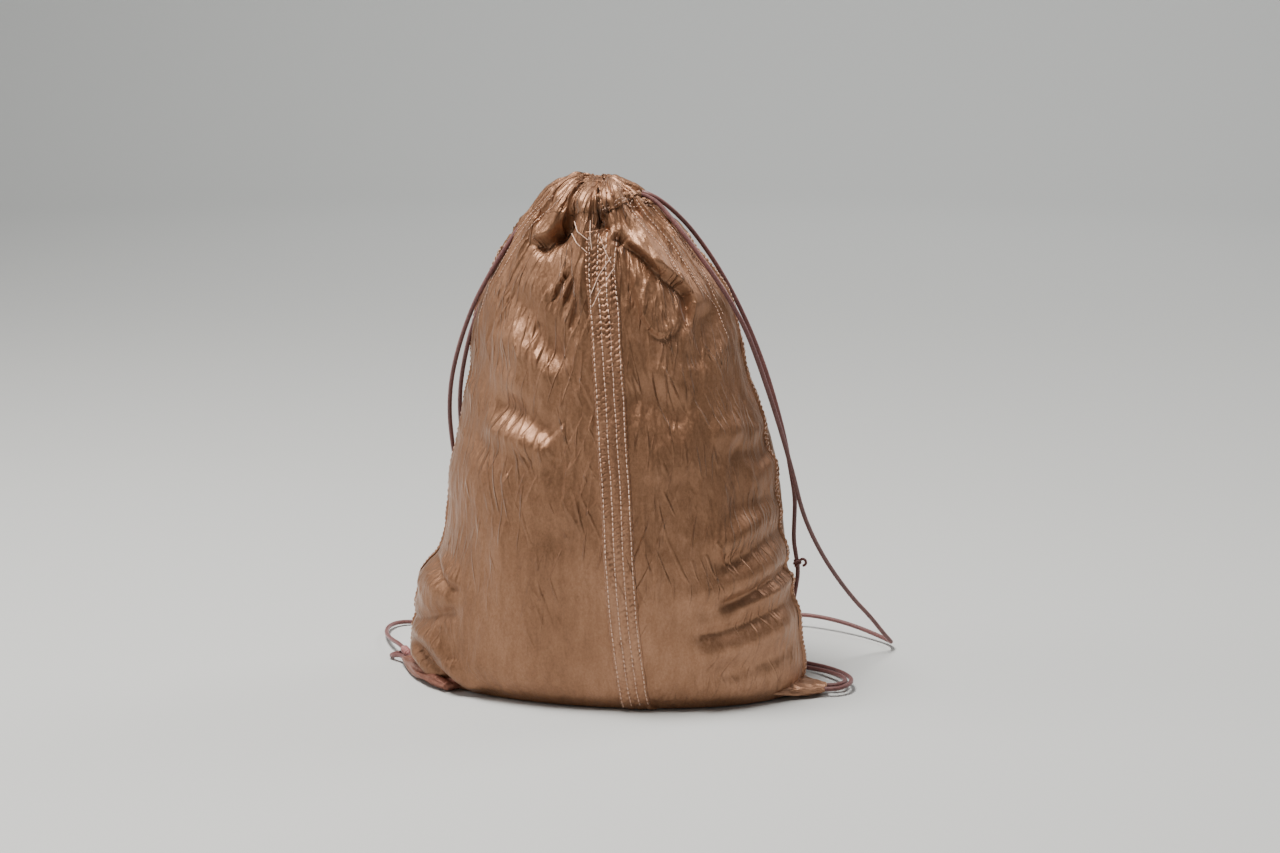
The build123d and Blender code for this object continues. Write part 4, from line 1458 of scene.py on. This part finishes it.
def tabs(seam, tab):
    """The folded tabs of the bottom corners: centre, direction across, half width and half height."""
    right_tab = corner_tab("corner_tab_right_cloth", [
        ((134.0, -6.0, 9.0), (0.15, 1.0), 24.0, 7.6),
        ((145.0, -4.5, 7.0), (0.1, 1.0), 22.0, 5.6),
        ((157.0, -4.5, 5.6), (0.0, 1.0), 16.0, 4.6),
        ((166.0, -5.0, 5.6), (0.0, 1.0), 10.0, 3.4),
        ((170.6, -5.2, 5.8), (0.0, 1.0), 8.0, 2.5),
        ((171.6, -5.2, 5.8), (0.0, 1.0), 5.5, 1.4),
    ], seam, 2.0)
    left_tab = corner_tab("corner_tab_left_cloth", [
        ((-112.0, -47.0, 4.6), (1.0, 0.75), 8.0, 3.4),
        ((-126.0, -36.0, 6.4), (1.0, 0.70), 9.2, 5.0),
        ((-140.0, -22.0, 6.0), (1.0, 0.62), 8.8, 4.8),
        ((-152.0, -5.0, 5.6), (1.0, 0.62), 7.8, 4.4),
        ((-159.5, 7.0, 5.6), (1.0, 0.65), 6.6, 3.8),
        ((-164.8, 13.8, 5.9), (1.0, 0.72), 5.2, 3.0),
        ((-165.8, 15.2, 5.9), (1.0, 0.72), 3.4, 1.6),
    ], tab, 5.0, 2.4)
    place_piece(right_tab, "seam_nylon", "corner_tab_right")
    place_piece(left_tab, "tab_binding", "corner_tab_left")


def knots(right_line, left_line, plum, coral):
    """The knot beside the left tab, and the one on the right strand with its cut end."""
    verts, faces = [], []
    knot_windings(verts, faces, left_line, (-169.25, 25.6, 7.1), 5.5, 2.35, 1.25, 12.0)
    place_piece(new_object("left_knot_cord", verts, faces, coral), "cord_knot", "cord_knot_left")
    verts, faces = [], []
    spot = knot_windings(verts, faces, right_line, (142.25, 44.5, 90.0), 2.2, 2.5, 1.05, 5.0)
    tail = []
    outward = np.array([1.0, -0.15, 0.0])
    for angle in np.radians(-100 + 300 * np.linspace(0.0, 1.0, 22)):
        rise = np.array([0, 0, 0.6 + 2.6 * math.sin(angle)])
        tail.append(spot + outward * (4.6 + 2.4 * math.cos(angle)) + rise)
    thread_tube(verts, faces, tail, 1.1, 10)
    place_piece(new_object("right_knot_cord", verts, faces, plum), "cord", "cord_knot_right")


def build():
    camera()
    studio()
    floor()
    nylon = satin_nylon("sack_nylon_look", NYLON_TONES)
    seam = satin_nylon("seam_nylon_look", SEAM_TONES, 0.8)
    tab = satin_nylon("tab_binding_look", TAB_TONES, 0.9)
    # The filling's near-black colour is painted shade for the hollow inside the mouth.
    filling_painted_shade = satin_nylon("contents_painted_shade_look", FILLING_PAINTED_SHADE_TONES, 0.6)
    thread = thread_material()
    plum = cord_material("drawcord_look", (0.075, 0.022, 0.020), (0.20, 0.075, 0.065))
    coral = cord_material("knot_look", (0.24, 0.075, 0.07), (0.46, 0.20, 0.18))

    right_line, left_line = cords(plum)
    hull = Hull()
    contents = contents_piece(hull, filling_painted_shade)
    place_piece(contents, "contents_cloth", "packed_contents")

    rows, along = profile(hull)
    angles = column_angles()
    points = cloth_points(rows, along, angles, contents, [right_line[::2], left_line[::2]])
    cloth = Cloth(points)
    tuck_in(contents, cloth, FILLING_GAP)
    panels(points, rows, nylon)
    band = mouth(points, rows, angles, nylon)
    seams(cloth, band, angles, seam, thread)
    tabs(seam, tab)
    knots(right_line, left_line, plum, coral)


build()
